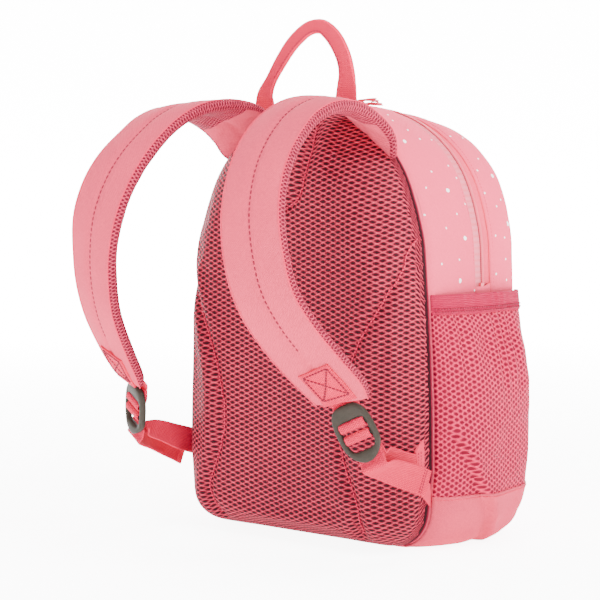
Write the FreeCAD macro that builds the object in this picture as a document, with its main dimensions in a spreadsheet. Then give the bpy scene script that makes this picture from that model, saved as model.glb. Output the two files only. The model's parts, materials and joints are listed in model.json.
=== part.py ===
import FreeCAD, Part
import os, math
import Sketcher

# Small school backpack.  Frame: +Z up, the bag stands on z = 0, the padded
# back panel faces +Y, the front faces -Y, y = 0 is the plane of the main
# zipper, and x = 0 is the plane of symmetry.  "left" is the wearer's left (-X).
App = FreeCAD
V = App.Vector
doc = App.newDocument("backpack")

DIMS = [
    ("half_width", 109.0), ("bag_top", 328.0), ("arch_radius", 108.0),
    ("base_radius", 28.0), ("back_y", 66.0), ("front_y", 41.0),
    ("front_top", 315.0), ("front_half", 107.0), ("front_arch_radius", 84.0),
    ("wall", 2.6), ("fold_z", 190.0), ("base_z", 12.0),
    ("zip_gap", 9.5), ("coil_half", 1.9), ("tape_thick", 1.0),
    ("front_crown", 9.0), ("back_crown", 44.0), ("back_skin", 3.0),
    ("pocket_bulge", 27.0), ("pocket_wall", 1.6), ("elastic_low", 174.0),
    ("elastic_high", 187.0), ("band_high", 38.0),
    ("fpocket_half", 84.0), ("fpocket_top", 178.0), ("fpocket_depth", 25.0),
    ("webbing_width", 20.0), ("webbing_thick", 1.6), ("strap_thick", 8.6), ("pad_foam", 4.5),
    ("handle_thick", 3.0),
    ("lock_width", 28.0), ("lock_length", 42.0), ("lock_thick", 4.6),
    ("lock_window_w", 21.4), ("lock_window_h", 6.4), ("lock_bar", 3.4),
    ("wing_thick", 2.2), ("slider_w", 9.0), ("slider_l", 11.0),
    ("slider_tall", 3.0), ("pull_w", 7.0), ("pull_l", 20.0), ("pull_tall", 1.4),
    ("pull_hole", 3.6), ("foam_t", 4.0), ("lining_t", 0.8), ("stop_size", 3.0),
]
sheet = doc.addObject("Spreadsheet::Sheet", "Dims")
for i, (k, v) in enumerate(DIMS):
    c = "A%d" % (i + 1)
    sheet.set(c, str(v))
    sheet.setAlias(c, k)
doc.recompute()
D = {k: float(getattr(sheet, k)) for k, v in DIMS}

NODES = []


def keep(obj, label):
    obj.Label = label
    NODES.append(obj)
    return obj


def feature(label, shape):
    o = doc.addObject("Part::Feature", label)
    o.Shape = shape
    return keep(o, label)


# ---------------------------------------------------------------- wires ----
def tomb(a, top, R, rb, zb, y):
    """Round-topped outline with rounded base corners, in the plane y."""
    R = min(R, a - 0.4)
    zt = top - R
    s = math.sin(math.pi / 4)
    e = []
    e.append(Part.LineSegment(V(-a + rb, y, zb), V(a - rb, y, zb)))
    e.append(Part.Arc(V(a - rb, y, zb), V(a - rb + rb * s, y, zb + rb - rb * s), V(a, y, zb + rb)))
    e.append(Part.LineSegment(V(a, y, zb + rb), V(a, y, zt)))
    e.append(Part.Arc(V(a, y, zt), V(a - R + R * s, y, zt + R * s), V(a - R, y, top)))
    e.append(Part.LineSegment(V(a - R, y, top), V(-a + R, y, top)))
    e.append(Part.Arc(V(-a + R, y, top), V(-a + R - R * s, y, zt + R * s), V(-a, y, zt)))
    e.append(Part.LineSegment(V(-a, y, zt), V(-a, y, zb + rb)))
    e.append(Part.Arc(V(-a, y, zb + rb), V(-a + rb - rb * s, y, zb + rb - rb * s), V(-a + rb, y, zb)))
    return Part.Wire([g.toShape() for g in e])


def loft(wires):
    return Part.makeLoft(wires, True, True)


def box(x0, y0, z0, x1, y1, z1):
    return Part.makeBox(x1 - x0, y1 - y0, z1 - z0, V(x0, y0, z0))


# Main compartment outline at a depth y and an inset from the outer face.
def section(y, inset=0.0):
    hw, tp, R = D["half_width"], D["bag_top"], D["arch_radius"]
    if y >= 0:
        f = y / D["back_y"]
        a, t, r = hw - 1.5 * f, tp - 1.0 * f, R - 1.0 * f
    else:
        f = -y / D["front_y"]
        a = hw + (D["front_half"] - hw) * f
        t = tp + (D["front_top"] - tp) * f
        r = R + (D["front_arch_radius"] - R) * f
    return tomb(a - inset, t - inset, r - inset, D["base_radius"] - inset, inset, y)


def tube(y0, y1, o0, o1):
    """Ring between insets o0 and o1, from y0 to y1 (both on one side of 0)."""
    return loft([section(y0, o0), section(y1, o0)]).cut(loft([section(y0, o1), section(y1, o1)]))


BIG = 400.0
fz = D["fold_z"]
bz = D["base_z"]
yb = D["back_y"]
yf = -D["front_y"]
w = D["wall"]
zg = D["zip_gap"]
ch = D["coil_half"]
above = box(-BIG, -BIG, fz + 0.4, BIG, BIG, BIG)
above0 = box(-BIG, -BIG, fz, BIG, BIG, BIG)
mid = box(-BIG, -BIG, bz, BIG, BIG, fz)
low = box(-BIG, -BIG, -10, BIG, BIG, bz)
leftside = box(-BIG, -BIG, -10, 0, BIG, BIG)
rightside = box(0, -BIG, -10, BIG, BIG, BIG)

# ------------------------------------------------- main compartment walls --
back_tube = tube(0.0, yb, 0, w)
front_tube = tube(0.0, yf, 0, w)
full = back_tube.fuse(front_tube)
rear_strip = tube(zg, yb, 0, w)
front_strip = tube(-zg, yf, 0, w)

feature("rear_top_gusset", rear_strip.common(above0))
feature("side_gusset_left", full.common(mid).common(leftside))
feature("side_gusset_right", full.common(mid).common(rightside))
# The base: turned-up edges from the ring, with a flat sheet between them.
slab = box(-79.0, yf, 0.0, 79.0, yb, w)
edges = full.common(low).cut(box(-79.0, -BIG, -1.0, 79.0, BIG, BIG))
feature("base_panel", edges.fuse(slab))

# Main zipper: woven tape and coil, one half on each side of y = 0.
tt = D["tape_thick"]
feature("main_zip_tape_rear", tube(ch, zg - 0.1, 0.35, 0.35 + tt).common(above0))
feature("main_zip_coil_rear", tube(0.15, ch - 0.05, -0.6, 1.5).common(above0))
feature("main_zip_tape_front", tube(-ch, -zg + 0.1, 0.35, 0.35 + tt).common(above))
feature("main_zip_coil_front", tube(-0.15, -ch + 0.05, -0.6, 1.5).common(above))
feature("front_top_gusset", front_strip.common(above))

# Crowned front panel: upper half on the flap, lower half on the bag.
fc = D["front_crown"]


def front_cap(y0, y1, inset, dz=0.0):
    a, t, r = D["front_half"] - inset, D["front_top"] - inset, D["front_arch_radius"] - inset
    w0 = tomb(a, t, r, D["base_radius"] - inset, inset, y0)
    w1 = tomb(a - 13, t - 13, r - 13, max(6.0, D["base_radius"] - 13 - inset * 0.5), inset + 9, y1)
    return loft([w0, w1])


cap = front_cap(yf - 0.05, yf - fc, 0).cut(front_cap(yf + 0.5, yf - fc + w, w))
cap = cap.cut(box(-BIG, yf - 0.04, -BIG, BIG, BIG, BIG))
feature("front_panel_upper", cap.common(above))
feature("front_panel_lower", cap.common(box(-BIG, -BIG, -10, BIG, BIG, fz)))

# ----------------------------------------------------------- back panel ----
bc = D["back_crown"]
sk = D["back_skin"]


def back_cap(y0, inset, crown):
    a, t, r = D["half_width"] - 2.5 - inset, D["bag_top"] - 2 - inset, D["arch_radius"] - 1 - inset
    ws = [tomb(a, t, r, D["base_radius"] - inset, 0.1 + inset, y0),
          tomb(a - 4.5, t - 9, r - 8, D["base_radius"] - inset, 0.2 + inset, y0 + crown * 0.42),
          tomb(a - 15, t - 26, r - 22, D["base_radius"] - inset, 4 + inset, y0 + crown * 0.76),
          tomb(a - 40, t - 76, r - 52, 26, 34 + inset, y0 + crown)]
    return Part.makeLoft(ws, True, True)


skin_out = back_cap(yb + 0.05, 0, bc)
skin_in = back_cap(yb - 0.6, sk, bc - sk + 0.6)
feature("back_mesh_panel", skin_out.cut(skin_in).cut(box(-BIG, -BIG, -10, BIG, yb + 0.04, BIG)))
ft_ = D["pad_foam"]
foam = back_cap(yb - 0.5, sk + 0.15, bc - sk + 0.3).cut(back_cap(yb - 1.5, sk + 0.15 + ft_, bc - sk + 1.3 - ft_))
feature("back_foam_pad", foam)
# Flat inner lining of the back wall, a pad of the same outline.
lin = doc.addObject("Part::Extrusion", "back_lining_extrusion")
lw = doc.addObject("Part::Feature", "back_lining_outline")
lw.Shape = Part.Face(tomb(D["half_width"] - w - 2.2, D["bag_top"] - w - 2.4, D["arch_radius"] - w - 2,
                          D["base_radius"] - 3, w + 0.6, yb - 1.6))
lin.Base = lw
lin.DirMode = "Custom"
lin.Dir = V(0, -1, 0)
lin.Solid = True
lin.LengthFwd = D["lining_t"]
lin.setExpression("LengthFwd", "Dims.lining_t")
keep(lin, "back_lining")

# Stiff foam sheet lying on the base.
bf = doc.addObject("Part::Box", "base_foam")
bf.setExpression("Length", "(Dims.half_width - Dims.base_radius - 2) * 2")
bf.setExpression("Width", "Dims.back_y + Dims.front_y - 9")
bf.setExpression("Height", "Dims.foam_t")
bf.setExpression("Placement.Base.x", "-(Dims.half_width - Dims.base_radius - 2)")
bf.setExpression("Placement.Base.y", "-Dims.front_y + 4")
bf.setExpression("Placement.Base.z", "Dims.wall + 0.1")
keep(bf, "base_foam_sheet")

# ----------------------------------------------------------- side pockets --


def bow(s, x0, ya, yc, bulge, z):
    """Half-lens profile against the side wall: a flat chord and a bowed face."""
    pts = [V(s * x0, ya, z), V(s * (x0 + bulge * 0.80), ya + (yc - ya) * 0.20, z),
           V(s * (x0 + bulge), ya + (yc - ya) * 0.5, z),
           V(s * (x0 + bulge * 0.80), ya + (yc - ya) * 0.80, z), V(s * x0, yc, z)]
    c = Part.BSplineCurve()
    c.interpolate(pts)
    return Part.Wire([c.toShape(), Part.LineSegment(pts[-1], pts[0]).toShape()])


PB = D["pocket_bulge"]
PROF = [(3.0, 0.18), (16.0, 0.55), (38.0, 0.84), (70.0, 0.97), (105.0, 1.0), (140.0, 0.86),
        (D["elastic_low"], 0.46), (D["elastic_high"], 0.34)]
x0p = D["half_width"] + 0.15


def pocket(s, t):
    ws = []
    for z, f in PROF:
        zz = z + (t * 1.2 if z < 10 else 0.0) + (0.5 if (t and z > 180) else 0.0)
        xx = x0p + (0.02 if t else 0)
        base = 26.0 if z < 10 else (10.0 if z < 20 else 0.0)
        b = max(PB * f - t, 1.5)
        xs = xx - (4.5 if z < 10 else 0.0) * 0
        ws.append(bow(s, xs, -D["front_y"] + 1 + t * 1.3 + base * 0.3, yb - 6 - t * 1.3 - base * 0.3, b, zz))
    return Part.makeLoft(ws, True, True)


pw = D["pocket_wall"]
for s, nm in ((-1, "left"), (1, "right")):
    shell = pocket(s, 0.0).cut(pocket(s, pw))
    # open the top fully
    el, eh, bh = D["elastic_low"], D["elastic_high"], D["band_high"]
    feature("side_pocket_band_" + nm, shell.common(box(-BIG, -BIG, -10, BIG, BIG, bh)))
    feature("side_pocket_mesh_" + nm, shell.common(box(-BIG, -BIG, bh + 0.02, BIG, BIG, el - 0.02)))
    feature("side_pocket_elastic_" + nm, shell.common(box(-BIG, -BIG, el, BIG, BIG, eh + 5)))

# ------------------------------------------------------------ front pocket --
fh, ft, fd = D["fpocket_half"], D["fpocket_top"], D["fpocket_depth"]
yp = yf - fc - 0.1


def fpocket(inset, y0, y1):
    a = fh - inset
    t = ft - inset
    return loft([tomb(a, t, 44 - inset, 20, 12 + inset, y0),
                 tomb(a - 2.0, t - 2, 44 - inset, 20, 13 + inset, y0 + (y1 - y0) * 0.55),
                 tomb(a - 10, t - 10, 36, 16, 20 + inset, y1)])


fsh = fpocket(0, yp, yp - fd).cut(fpocket(w, yp + 1, yp - fd + w))
# a horizontal zipped mouth across the upper front of the pocket
zm = 138.0
mouth = box(-62, yp - fd - 2, zm - 5, 62, yp - fd + 8, zm + 5)
feature("front_pocket_shell", fsh.cut(mouth))
yfp = yp - fd
feature("front_pocket_zip_tape", box(-62, yfp + 0.6, zm + 1.6, 62, yfp + 1.6, zm + 5).fuse(
    box(-62, yfp + 0.6, zm - 5, 62, yfp + 1.6, zm - 1.6)).fuse(
    box(-62, yfp + 0.6, zm - 1.7, -57, yfp + 1.6, zm + 1.7)).fuse(
    box(57, yfp + 0.6, zm - 1.7, 62, yfp + 1.6, zm + 1.7)).removeSplitter())
coilb = doc.addObject("Part::Box", "fp_coil")
coilb.Length, coilb.Width, coilb.Height = 113.8, 2.0, 3.1
coilb.Placement = App.Placement(V(-56.9, yfp - 0.1, zm - 1.55), App.Rotation())
coilb.setExpression("Height", "Dims.coil_half * 2 - 0.7")
keep(coilb, "front_pocket_zip_coil")


# ---------------------------------------------------- sketch-based helpers --
def plane_of(body, role):
    for o in body.Origin.OriginFeatures:
        if o.Role == role:
            return o


def rect(skt, w_, h_, we, he, cy=0.0, cye=None):
    """Closed rectangle centred on the sketch's vertical axis."""
    n = skt.GeometryCount
    x, y = w_ / 2.0, h_ / 2.0
    p = [V(-x, cy - y, 0), V(x, cy - y, 0), V(x, cy + y, 0), V(-x, cy + y, 0)]
    for i in range(4):
        skt.addGeometry(Part.LineSegment(p[i], p[(i + 1) % 4]), False)
    for i in range(4):
        skt.addConstraint(Sketcher.Constraint("Coincident", n + i, 2, n + (i + 1) % 4, 1))
    skt.addConstraint(Sketcher.Constraint("Horizontal", n + 2))
    skt.addConstraint(Sketcher.Constraint("Vertical", n + 1))
    skt.addConstraint(Sketcher.Constraint("Vertical", n + 3))
    skt.addConstraint(Sketcher.Constraint("Symmetric", n, 1, n, 2, -2))
    c = skt.addConstraint(Sketcher.Constraint("DistanceX", n, 1, n, 2, w_))
    skt.setExpression("Constraints[%d]" % c, we)
    c = skt.addConstraint(Sketcher.Constraint("DistanceY", n + 1, 1, n + 1, 2, h_))
    skt.setExpression("Constraints[%d]" % c, he)
    c = skt.addConstraint(Sketcher.Constraint("DistanceY", -1, 1, n, 1, cy - y))
    skt.setExpression("Constraints[%d]" % c, cye if cye else "-(%s) / 2" % he)


def pad_body(label, we, he, te, w_, h_, t_, place, window=None, fillet=None):
    """Plate from one sketch, with windows, rounded corners, and a placement."""
    b = doc.addObject("PartDesign::Body", label + "_body")
    s = b.newObject("Sketcher::SketchObject", label + "_outline")
    s.AttachmentSupport = [(plane_of(b, "XY_Plane"), "")]
    s.MapMode = "FlatFace"
    rect(s, w_, h_, we, he)
    pad = b.newObject("PartDesign::Pad", label + "_plate")
    pad.Profile = s
    pad.Midplane = True
    pad.Length = t_
    pad.setExpression("Length", te)
    doc.recompute()
    tip = pad
    if fillet:
        f = b.newObject("PartDesign::Fillet", label + "_corners")
        es = []
        for i, e in enumerate(pad.Shape.Edges):
            p, q = e.Vertexes[0].Point, e.Vertexes[-1].Point
            if abs(p.x - q.x) < 1e-6 and abs(p.y - q.y) < 1e-6:
                es.append("Edge%d" % (i + 1))
        f.Base = (pad, es)
        f.Radius = fillet
        doc.recompute()
        tip = f
    if window:
        for k, (ww, wh, wcy, we_, he_, cye) in enumerate(window):
            s2 = b.newObject("Sketcher::SketchObject", label + "_window%d" % k)
            s2.AttachmentSupport = [(plane_of(b, "XY_Plane"), "")]
            s2.MapMode = "FlatFace"
            rect(s2, ww, wh, we_, he_, wcy, cye)
            pk = b.newObject("PartDesign::Pocket", label + "_cut%d" % k)
            pk.Profile = s2
            pk.Midplane = True
            pk.Type = "Length"
            pk.Length = t_ * 3
            doc.recompute()
    b.Placement = place
    doc.recompute()
    return keep(b, label)


def frame(o, xa, ya):
    """Placement with local x along xa and local y along ya, at o."""
    xa = V(*xa).normalize()
    za = xa.cross(V(*ya)).normalize()
    ya = za.cross(xa)
    m = App.Matrix(xa.x, ya.x, za.x, o[0], xa.y, ya.y, za.y, o[1], xa.z, ya.z, za.z, o[2], 0, 0, 0, 1)
    return App.Placement(m)


# ------------------------------------------------------- shoulder straps ----
# Stations from the top seam to the lower end: inner edge, outer edge (right
# side, +X; the left strap is the mirror image), thickness factor.
STN = [((40, 72.5, 323), (87, 72.5, 290), 0.55),
       ((39, 81, 327.5), (89, 80, 303), 0.7),
       ((38.5, 96, 331), (90, 95, 315), 0.85),
       ((38, 120, 332), (90, 119, 325), 1.0),
       ((38, 146, 328), (89.5, 144, 326), 1.0),
       ((38.5, 168, 319), (89.5, 167, 318.5), 1.0),
       ((39.5, 186, 307), (91, 184, 306.5), 1.0),
       ((42, 203, 290), (94.3, 202, 290), 1.0),
       ((45.5, 216, 270), (97.5, 215, 270), 1.0),
       ((49.5, 225.5, 246), (100.8, 221.5, 246), 1.0),
       ((54, 228.5, 220), (103.6, 219.7, 220), 1.0),
       ((58.5, 225, 194), (107, 213.5, 195), 1.0),
       ((64.5, 215, 170), (114, 199, 171), 1.0),
       ((72, 196.5, 145), (121, 180, 149), 0.95),
       ((80, 178, 125), (125.5, 163, 131), 0.9),
       ((86, 167, 114), (123, 154.5, 121), 0.75)]
ST = D["strap_thick"]


def norms():
    out = []
    n = len(STN)
    for i, (a, b, f) in enumerate(STN):
        c0 = [(p + q) / 2.0 for p, q in zip(STN[max(i - 1, 0)][0], STN[max(i - 1, 0)][1])]
        c1 = [(p + q) / 2.0 for p, q in zip(STN[min(i + 1, n - 1)][0], STN[min(i + 1, n - 1)][1])]
        t = V(*c1) - V(*c0)
        wv = V(*b) - V(*a)
        nn = t.cross(wv)
        nn.normalize()
        if nn.z < 0:
            nn = nn * -1
        out.append(nn)
    # outer normal: upwards at the crest, away from the back lower down
    for i in range(1, n):
        if out[i].dot(out[i - 1]) < 0:
            out[i] = out[i] * -1
    return out


NRM = norms()


def strap_layer(s, d0, d1, ins):
    ws = []
    for (a, b, f), nn in zip(STN, NRM):
        a, b = V(*a), V(*b)
        u = (b - a)
        u.normalize()
        a2, b2 = a + u * ins, b - u * ins
        pts = [a2 - nn * d0 * f, b2 - nn * d0 * f, b2 - nn * d1 * f, a2 - nn * d1 * f]
        pts = [V(s * p.x, p.y, p.z) for p in pts]
        ws.append(Part.makePolygon(pts + [pts[0]]))
    return Part.makeLoft(ws, True, True)


for s, nm in ((-1, "left"), (1, "right")):
    feature("strap_cover_" + nm, strap_layer(s, 0.0, 1.2, 0.0))
    feature("strap_foam_" + nm, strap_layer(s, 1.25, ST - 2.0, 0.8))
    feature("strap_mesh_" + nm, strap_layer(s, ST - 1.95, ST, 0.0))

# ------------------------------------------------- buckles and webbing ------
BC = (108.9, 150.0, 96.1)            # centre of the right ladder lock
PN = V(0, 0.69, -0.72)               # outer side of the strap end
LW, LL = D["lock_width"], D["lock_length"]
wt, ww = D["webbing_thick"], D["webbing_width"]


def ribbon(stations, t):
    """Flat strip through stations of (centre, width direction, width)."""
    ws = []
    n = len(stations)
    for i, (c, wd, wid) in enumerate(stations):
        c0, c1 = V(*stations[max(i - 1, 0)][0]), V(*stations[min(i + 1, n - 1)][0])
        tv = (c1 - c0)
        tv.normalize()
        wv = V(*wd)
        wv = wv - tv * wv.dot(tv)
        wv.normalize()
        nv = tv.cross(wv)
        nv.normalize()
        c = V(*c)
        h = wid / 2.0
        p = [c - wv * h - nv * t / 2, c + wv * h - nv * t / 2, c + wv * h + nv * t / 2, c - wv * h + nv * t / 2]
        ws.append(Part.makePolygon(p + [p[0]]))
    return Part.makeLoft(ws, True, True)


def m(s, p):
    return (s * p[0], p[1], p[2])


for s, nm in ((-1, "left"), (1, "right")):
    # the lock's own directions: r down the webbing, x across it, nv outward
    r = V(s * 0.35, -0.28, -0.89)
    r.normalize()
    x = V(s * 0.854, -0.25, 0.457)
    x = x - r * x.dot(r)
    x.normalize()
    nv = r.cross(x) * (1.0 if r.cross(x).y > 0 else -1.0)
    up = (-r.x, -r.y, -r.z)
    c = V(*m(s, BC))
    # three windows: the fixed bar, the slot, and the lower lip
    wins = [(D["lock_window_w"], 5.2, 9.6, "Dims.lock_window_w", "5.2", "7.0"),
            (D["lock_window_w"], 5.0, 1.0, "Dims.lock_window_w", "5.0", "-1.5"),
            (D["lock_window_w"], 5.6, -9.2, "Dims.lock_window_w", "5.6", "-12")]
    lk = pad_body("ladder_lock_" + nm, "Dims.lock_width", "Dims.lock_length", "Dims.lock_thick",
                  LW, LL, D["lock_thick"], frame(tuple(c), tuple(x), up), wins, 6.0)
    # anchor webbing: sewn under the strap end, looped round the top bar
    feature("anchor_webbing_" + nm, ribbon([
        (tuple(c - r * 12.0 - nv * 4.3), tuple(x), ww),
        (tuple(c - r * 17.0 - nv * 4.3), tuple(x), ww),
        (tuple(c - r * 22.0 - nv * 3.9), tuple(x), ww),
        (tuple(c - r * 25.0 - nv * 3.3), tuple(x), ww)], wt))
    # stitched patch on the outside of the strap end
    feature("strap_patch_" + nm, ribbon([
        (tuple(V(*m(s, (94.5, 188.5, 146.0))) + PN * 1.2), (s * 1.0, -0.33, 0.08), 26.0),
        (tuple(V(*m(s, (100.0, 176.0, 132.0))) + PN * 1.4), (s * 1.0, -0.33, 0.10), 26.0),
        (tuple(V(*m(s, (104.0, 164.5, 119.0))) + PN * 1.6), (s * 1.0, -0.33, 0.12), 26.0)], 1.4))
    # free tail, from the lower lip of the lock, turning on edge
    feature("webbing_tail_" + nm, ribbon([
        (tuple(c + r * 6.0 + nv * 4.8), tuple(x), ww),
        (tuple(c + r * 22.0 + nv * 4.6), tuple(x), ww),
        (m(s, (117.2, 127.0, 68.5)), (s * 0.62, -0.28, 0.68), ww),
        (m(s, (117.4, 108.0, 62.5)), (s * 0.35, -0.35, 0.85), ww),
        (m(s, (117.8, 94.0, 58.0)), (s * 0.10, -0.35, 0.9), ww),
        (m(s, (118.5, 82.0, 53.0)), (0.0, -0.45, 0.9), ww)], wt))
    # load webbing from the lock's lower bar to the corner wing
    feature("lower_webbing_" + nm, ribbon([
        (tuple(c + r * 7.0 - nv * 4.2), tuple(x), ww),
        (tuple(c + r * 20.0 - nv * 5.6), tuple(x), ww),
        (m(s, (110.5, 122.0, 75.5)), (s * 0.55, -0.28, 0.75), ww),
        (m(s, (109.4, 103.0, 69.0)), (s * 0.25, -0.35, 0.88), ww),
        (m(s, (110.4, 84.0, 63.5)), (0.0, -0.35, 0.9), ww)], wt))
    # corner wing: a triangular fabric tab sewn into the back seam
    b = doc.addObject("PartDesign::Body", "strap_wing_%s_body" % nm)
    sk2 = b.newObject("Sketcher::SketchObject", "strap_wing_%s_outline" % nm)
    sk2.AttachmentSupport = [(plane_of(b, "YZ_Plane"), "")]
    sk2.MapMode = "FlatFace"
    pp = [(66.3, 97.0), (83.0, 76.0), (83.0, 50.0), (66.3, 31.0)]
    for i in range(4):
        a_, b_ = pp[i], pp[(i + 1) % 4]
        sk2.addGeometry(Part.LineSegment(V(a_[0], a_[1], 0), V(b_[0], b_[1], 0)), False)
    for i in range(4):
        sk2.addConstraint(Sketcher.Constraint("Coincident", i, 2, (i + 1) % 4, 1))
    for i in range(4):
        sk2.addConstraint(Sketcher.Constraint("DistanceX", -1, 1, i, 1, pp[i][0]))
        sk2.addConstraint(Sketcher.Constraint("DistanceY", -1, 1, i, 1, pp[i][1]))
    pad = b.newObject("PartDesign::Pad", "strap_wing_%s_plate" % nm)
    pad.Profile = sk2
    pad.Midplane = True
    pad.Length = D["wing_thick"]
    pad.setExpression("Length", "Dims.wing_thick")
    b.Placement = App.Placement(V(s * 108.3, 0, 0), App.Rotation())
    doc.recompute()
    keep(b, "strap_wing_" + nm)

# -------------------------------------------------------------- handle ------
# Outer and inner edges of the loop, from the +X foot to the -X foot.  The band
# lies in the plane of the back seam; between its feet it is folded in half.
HO = [(60.5, 329.0), (58, 338), (49.5, 350), (37.5, 367), (25, 381), (9, 391.0), (-6, 392.5), (-16.5, 388), (-26, 379),
      (-33.5, 366), (-37.5, 353), (-39.5, 341), (-40, 330.0)]
HI = [(41.5, 329.0), (43, 337), (40, 346), (31, 358), (19, 371), (6, 380.0), (-3.5, 381.5), (-9, 378), (-15.5, 370.5),
      (-21.5, 360), (-23.5, 350), (-21.5, 340), (-20, 330.0)]
hst = []
for (ox, oz), (ix, iz) in zip(HO, HI):
    wid = math.hypot(ox - ix, oz - iz)
    hst.append((((ox + ix) / 2, yb - 1.5, (oz + iz) / 2), (ox - ix, 0, oz - iz), wid))
feature("grab_handle", ribbon(hst, D["handle_thick"]))

# ----------------------------------------------- zipper sliders and pulls ---
hw = D["half_width"]
zc = D["bag_top"] - D["arch_radius"]
R = D["arch_radius"] + 0.5 + 0.9 + 0.5 + D["slider_tall"] / 2


def on_arc(deg, r):
    """Point on the zipper arch, deg from the top towards +X."""
    a_ = math.radians(deg)
    return (r * math.sin(a_), 0.0, zc + r * math.cos(a_)), (math.cos(a_), 0, -math.sin(a_)), (math.sin(a_), 0, math.cos(a_))


for s, nm, deg in ((-1, "left", -3.6), (1, "right", 3.6)):
    p, t_, n_ = on_arc(deg, R)
    pad_body("main_zip_slider_" + nm, "Dims.slider_l", "Dims.slider_w", "Dims.slider_tall",
             D["slider_l"], D["slider_w"], D["slider_tall"], frame(p, t_, (0, 1, 0)), None, 1.6)
    p, t_, n_ = on_arc(deg + s * 0.0, R + D["slider_tall"] / 2 + 0.3 + D["pull_tall"] / 2)
    # the left pull lies towards +X, the right pull towards -X, side by side
    off = -s * (D["pull_l"] / 2 - 0.7)
    pc = V(*p) + V(*t_) * off + V(0, s * 4.2, 0)
    pad_body("main_zip_pull_" + nm, "Dims.pull_l", "Dims.pull_w", "Dims.pull_tall",
             D["pull_l"], D["pull_w"], D["pull_tall"], frame(tuple(pc), t_, (0, 1, 0)),
             [(8.0, 3.6, 0.0, "8", "Dims.pull_hole", None)], 1.6)

# bottom stops of the main zipper, one each side, at the fold line
st = []
for s in (-1, 1):
    st.append(box(min(s * (hw + 0.7), s * (hw + 2.5)), 0.2, fz + 1, max(s * (hw + 0.7), s * (hw + 2.5)), 4.2, fz + 4))
feature("main_zip_stops", Part.makeCompound(st))

# front pocket slider and pull
pad_body("front_pocket_slider", "Dims.slider_l", "Dims.slider_w", "Dims.slider_tall",
         D["slider_l"], D["slider_w"], D["slider_tall"],
         frame((-48, yfp - 0.1 - 0.3 - D["slider_tall"] / 2, zm), (1, 0, 0), (0, 0, 1)), None, 1.6)
pad_body("front_pocket_pull", "Dims.pull_w", "Dims.pull_l", "Dims.pull_tall",
         D["pull_w"], D["pull_l"], D["pull_tall"],
         frame((-48, yfp - 0.4 - D["slider_tall"] - 0.3 - D["pull_tall"] / 2, zm - D["pull_l"] / 2 + 0.7), (1, 0, 0), (0, 0, 1)),
         [(3.6, 8.0, 0.0, "Dims.pull_hole", "8", None)], 1.6)

# --------------------------------------------------------------- write ------
doc.recompute()
bad = []
for o in doc.Objects:
    if any(k in ("Invalid", "Error") for k in o.State):
        bad.append((o.Name, list(o.State)))
for o in NODES:
    sh = o.Shape
    if sh.isNull() or not sh.isValid() or not sh.Solids:
        bad.append((o.Label, "shape"))
if bad:
    raise RuntimeError("failed objects: %r" % bad)
os.makedirs("parts", exist_ok=True)
for o in NODES:
    o.Shape.exportStep("parts/%s.step" % o.Label)
    b = o.Shape.BoundBox
    print("%-26s %2d solid %9.1f mm3  x %.1f..%.1f y %.1f..%.1f z %.1f..%.1f" % (
        o.Label, len(o.Shape.Solids), o.Shape.Volume, b.XMin, b.XMax, b.YMin, b.YMax, b.ZMin, b.ZMax))
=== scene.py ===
import bpy, math, json, random
import numpy as np
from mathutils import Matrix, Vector, noise

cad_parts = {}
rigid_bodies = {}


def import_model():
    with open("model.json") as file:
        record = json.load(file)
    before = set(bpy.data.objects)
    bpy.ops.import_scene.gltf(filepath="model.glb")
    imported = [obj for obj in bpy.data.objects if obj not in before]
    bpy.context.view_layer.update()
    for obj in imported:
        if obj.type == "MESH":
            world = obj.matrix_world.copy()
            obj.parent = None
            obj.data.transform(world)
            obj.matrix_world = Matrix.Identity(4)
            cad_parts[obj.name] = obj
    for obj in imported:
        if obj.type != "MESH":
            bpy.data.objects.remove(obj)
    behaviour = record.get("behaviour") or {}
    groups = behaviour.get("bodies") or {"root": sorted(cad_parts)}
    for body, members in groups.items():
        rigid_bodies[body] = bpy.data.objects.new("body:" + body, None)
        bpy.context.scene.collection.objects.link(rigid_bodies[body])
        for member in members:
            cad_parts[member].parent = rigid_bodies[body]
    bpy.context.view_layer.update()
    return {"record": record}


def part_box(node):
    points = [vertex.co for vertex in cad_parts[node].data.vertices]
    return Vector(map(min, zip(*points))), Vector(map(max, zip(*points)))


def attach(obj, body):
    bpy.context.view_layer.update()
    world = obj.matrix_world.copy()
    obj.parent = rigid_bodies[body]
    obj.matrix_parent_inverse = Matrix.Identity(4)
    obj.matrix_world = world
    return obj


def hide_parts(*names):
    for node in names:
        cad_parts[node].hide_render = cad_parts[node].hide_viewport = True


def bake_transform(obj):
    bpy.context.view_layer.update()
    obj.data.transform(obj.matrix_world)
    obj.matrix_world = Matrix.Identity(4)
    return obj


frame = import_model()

rng = np.random.default_rng(11)
random.seed(11)
A = np.array


def nb(n):
    lo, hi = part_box(n)
    return A(lo) * 1000.0, A(hi) * 1000.0


# ------------------------------------------------------------------ camera --
YAW, DIST, CZ, TZ, TX, TY, FOV = 220.31, 1.40501, 0.26445, 0.17666, 0.0398, 0.03551, 19.15
cam = bpy.data.objects.new("camera", bpy.data.cameras.new("camera"))
bpy.context.scene.collection.objects.link(cam)
bk = Vector((math.sin(math.radians(YAW)), -math.cos(math.radians(YAW)), 0))
cam.location = Vector((TX, TY, 0)) + bk * DIST
cam.location.z = CZ
cam.rotation_mode = "QUATERNION"
cam.rotation_quaternion = (Vector((TX, TY, TZ)) - cam.location).to_track_quat("-Z", "Y")
cam.data.sensor_fit = "HORIZONTAL"
cam.data.angle = math.radians(FOV)
cam.data.clip_start, cam.data.clip_end = 0.05, 20
bpy.context.scene.camera = cam


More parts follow.
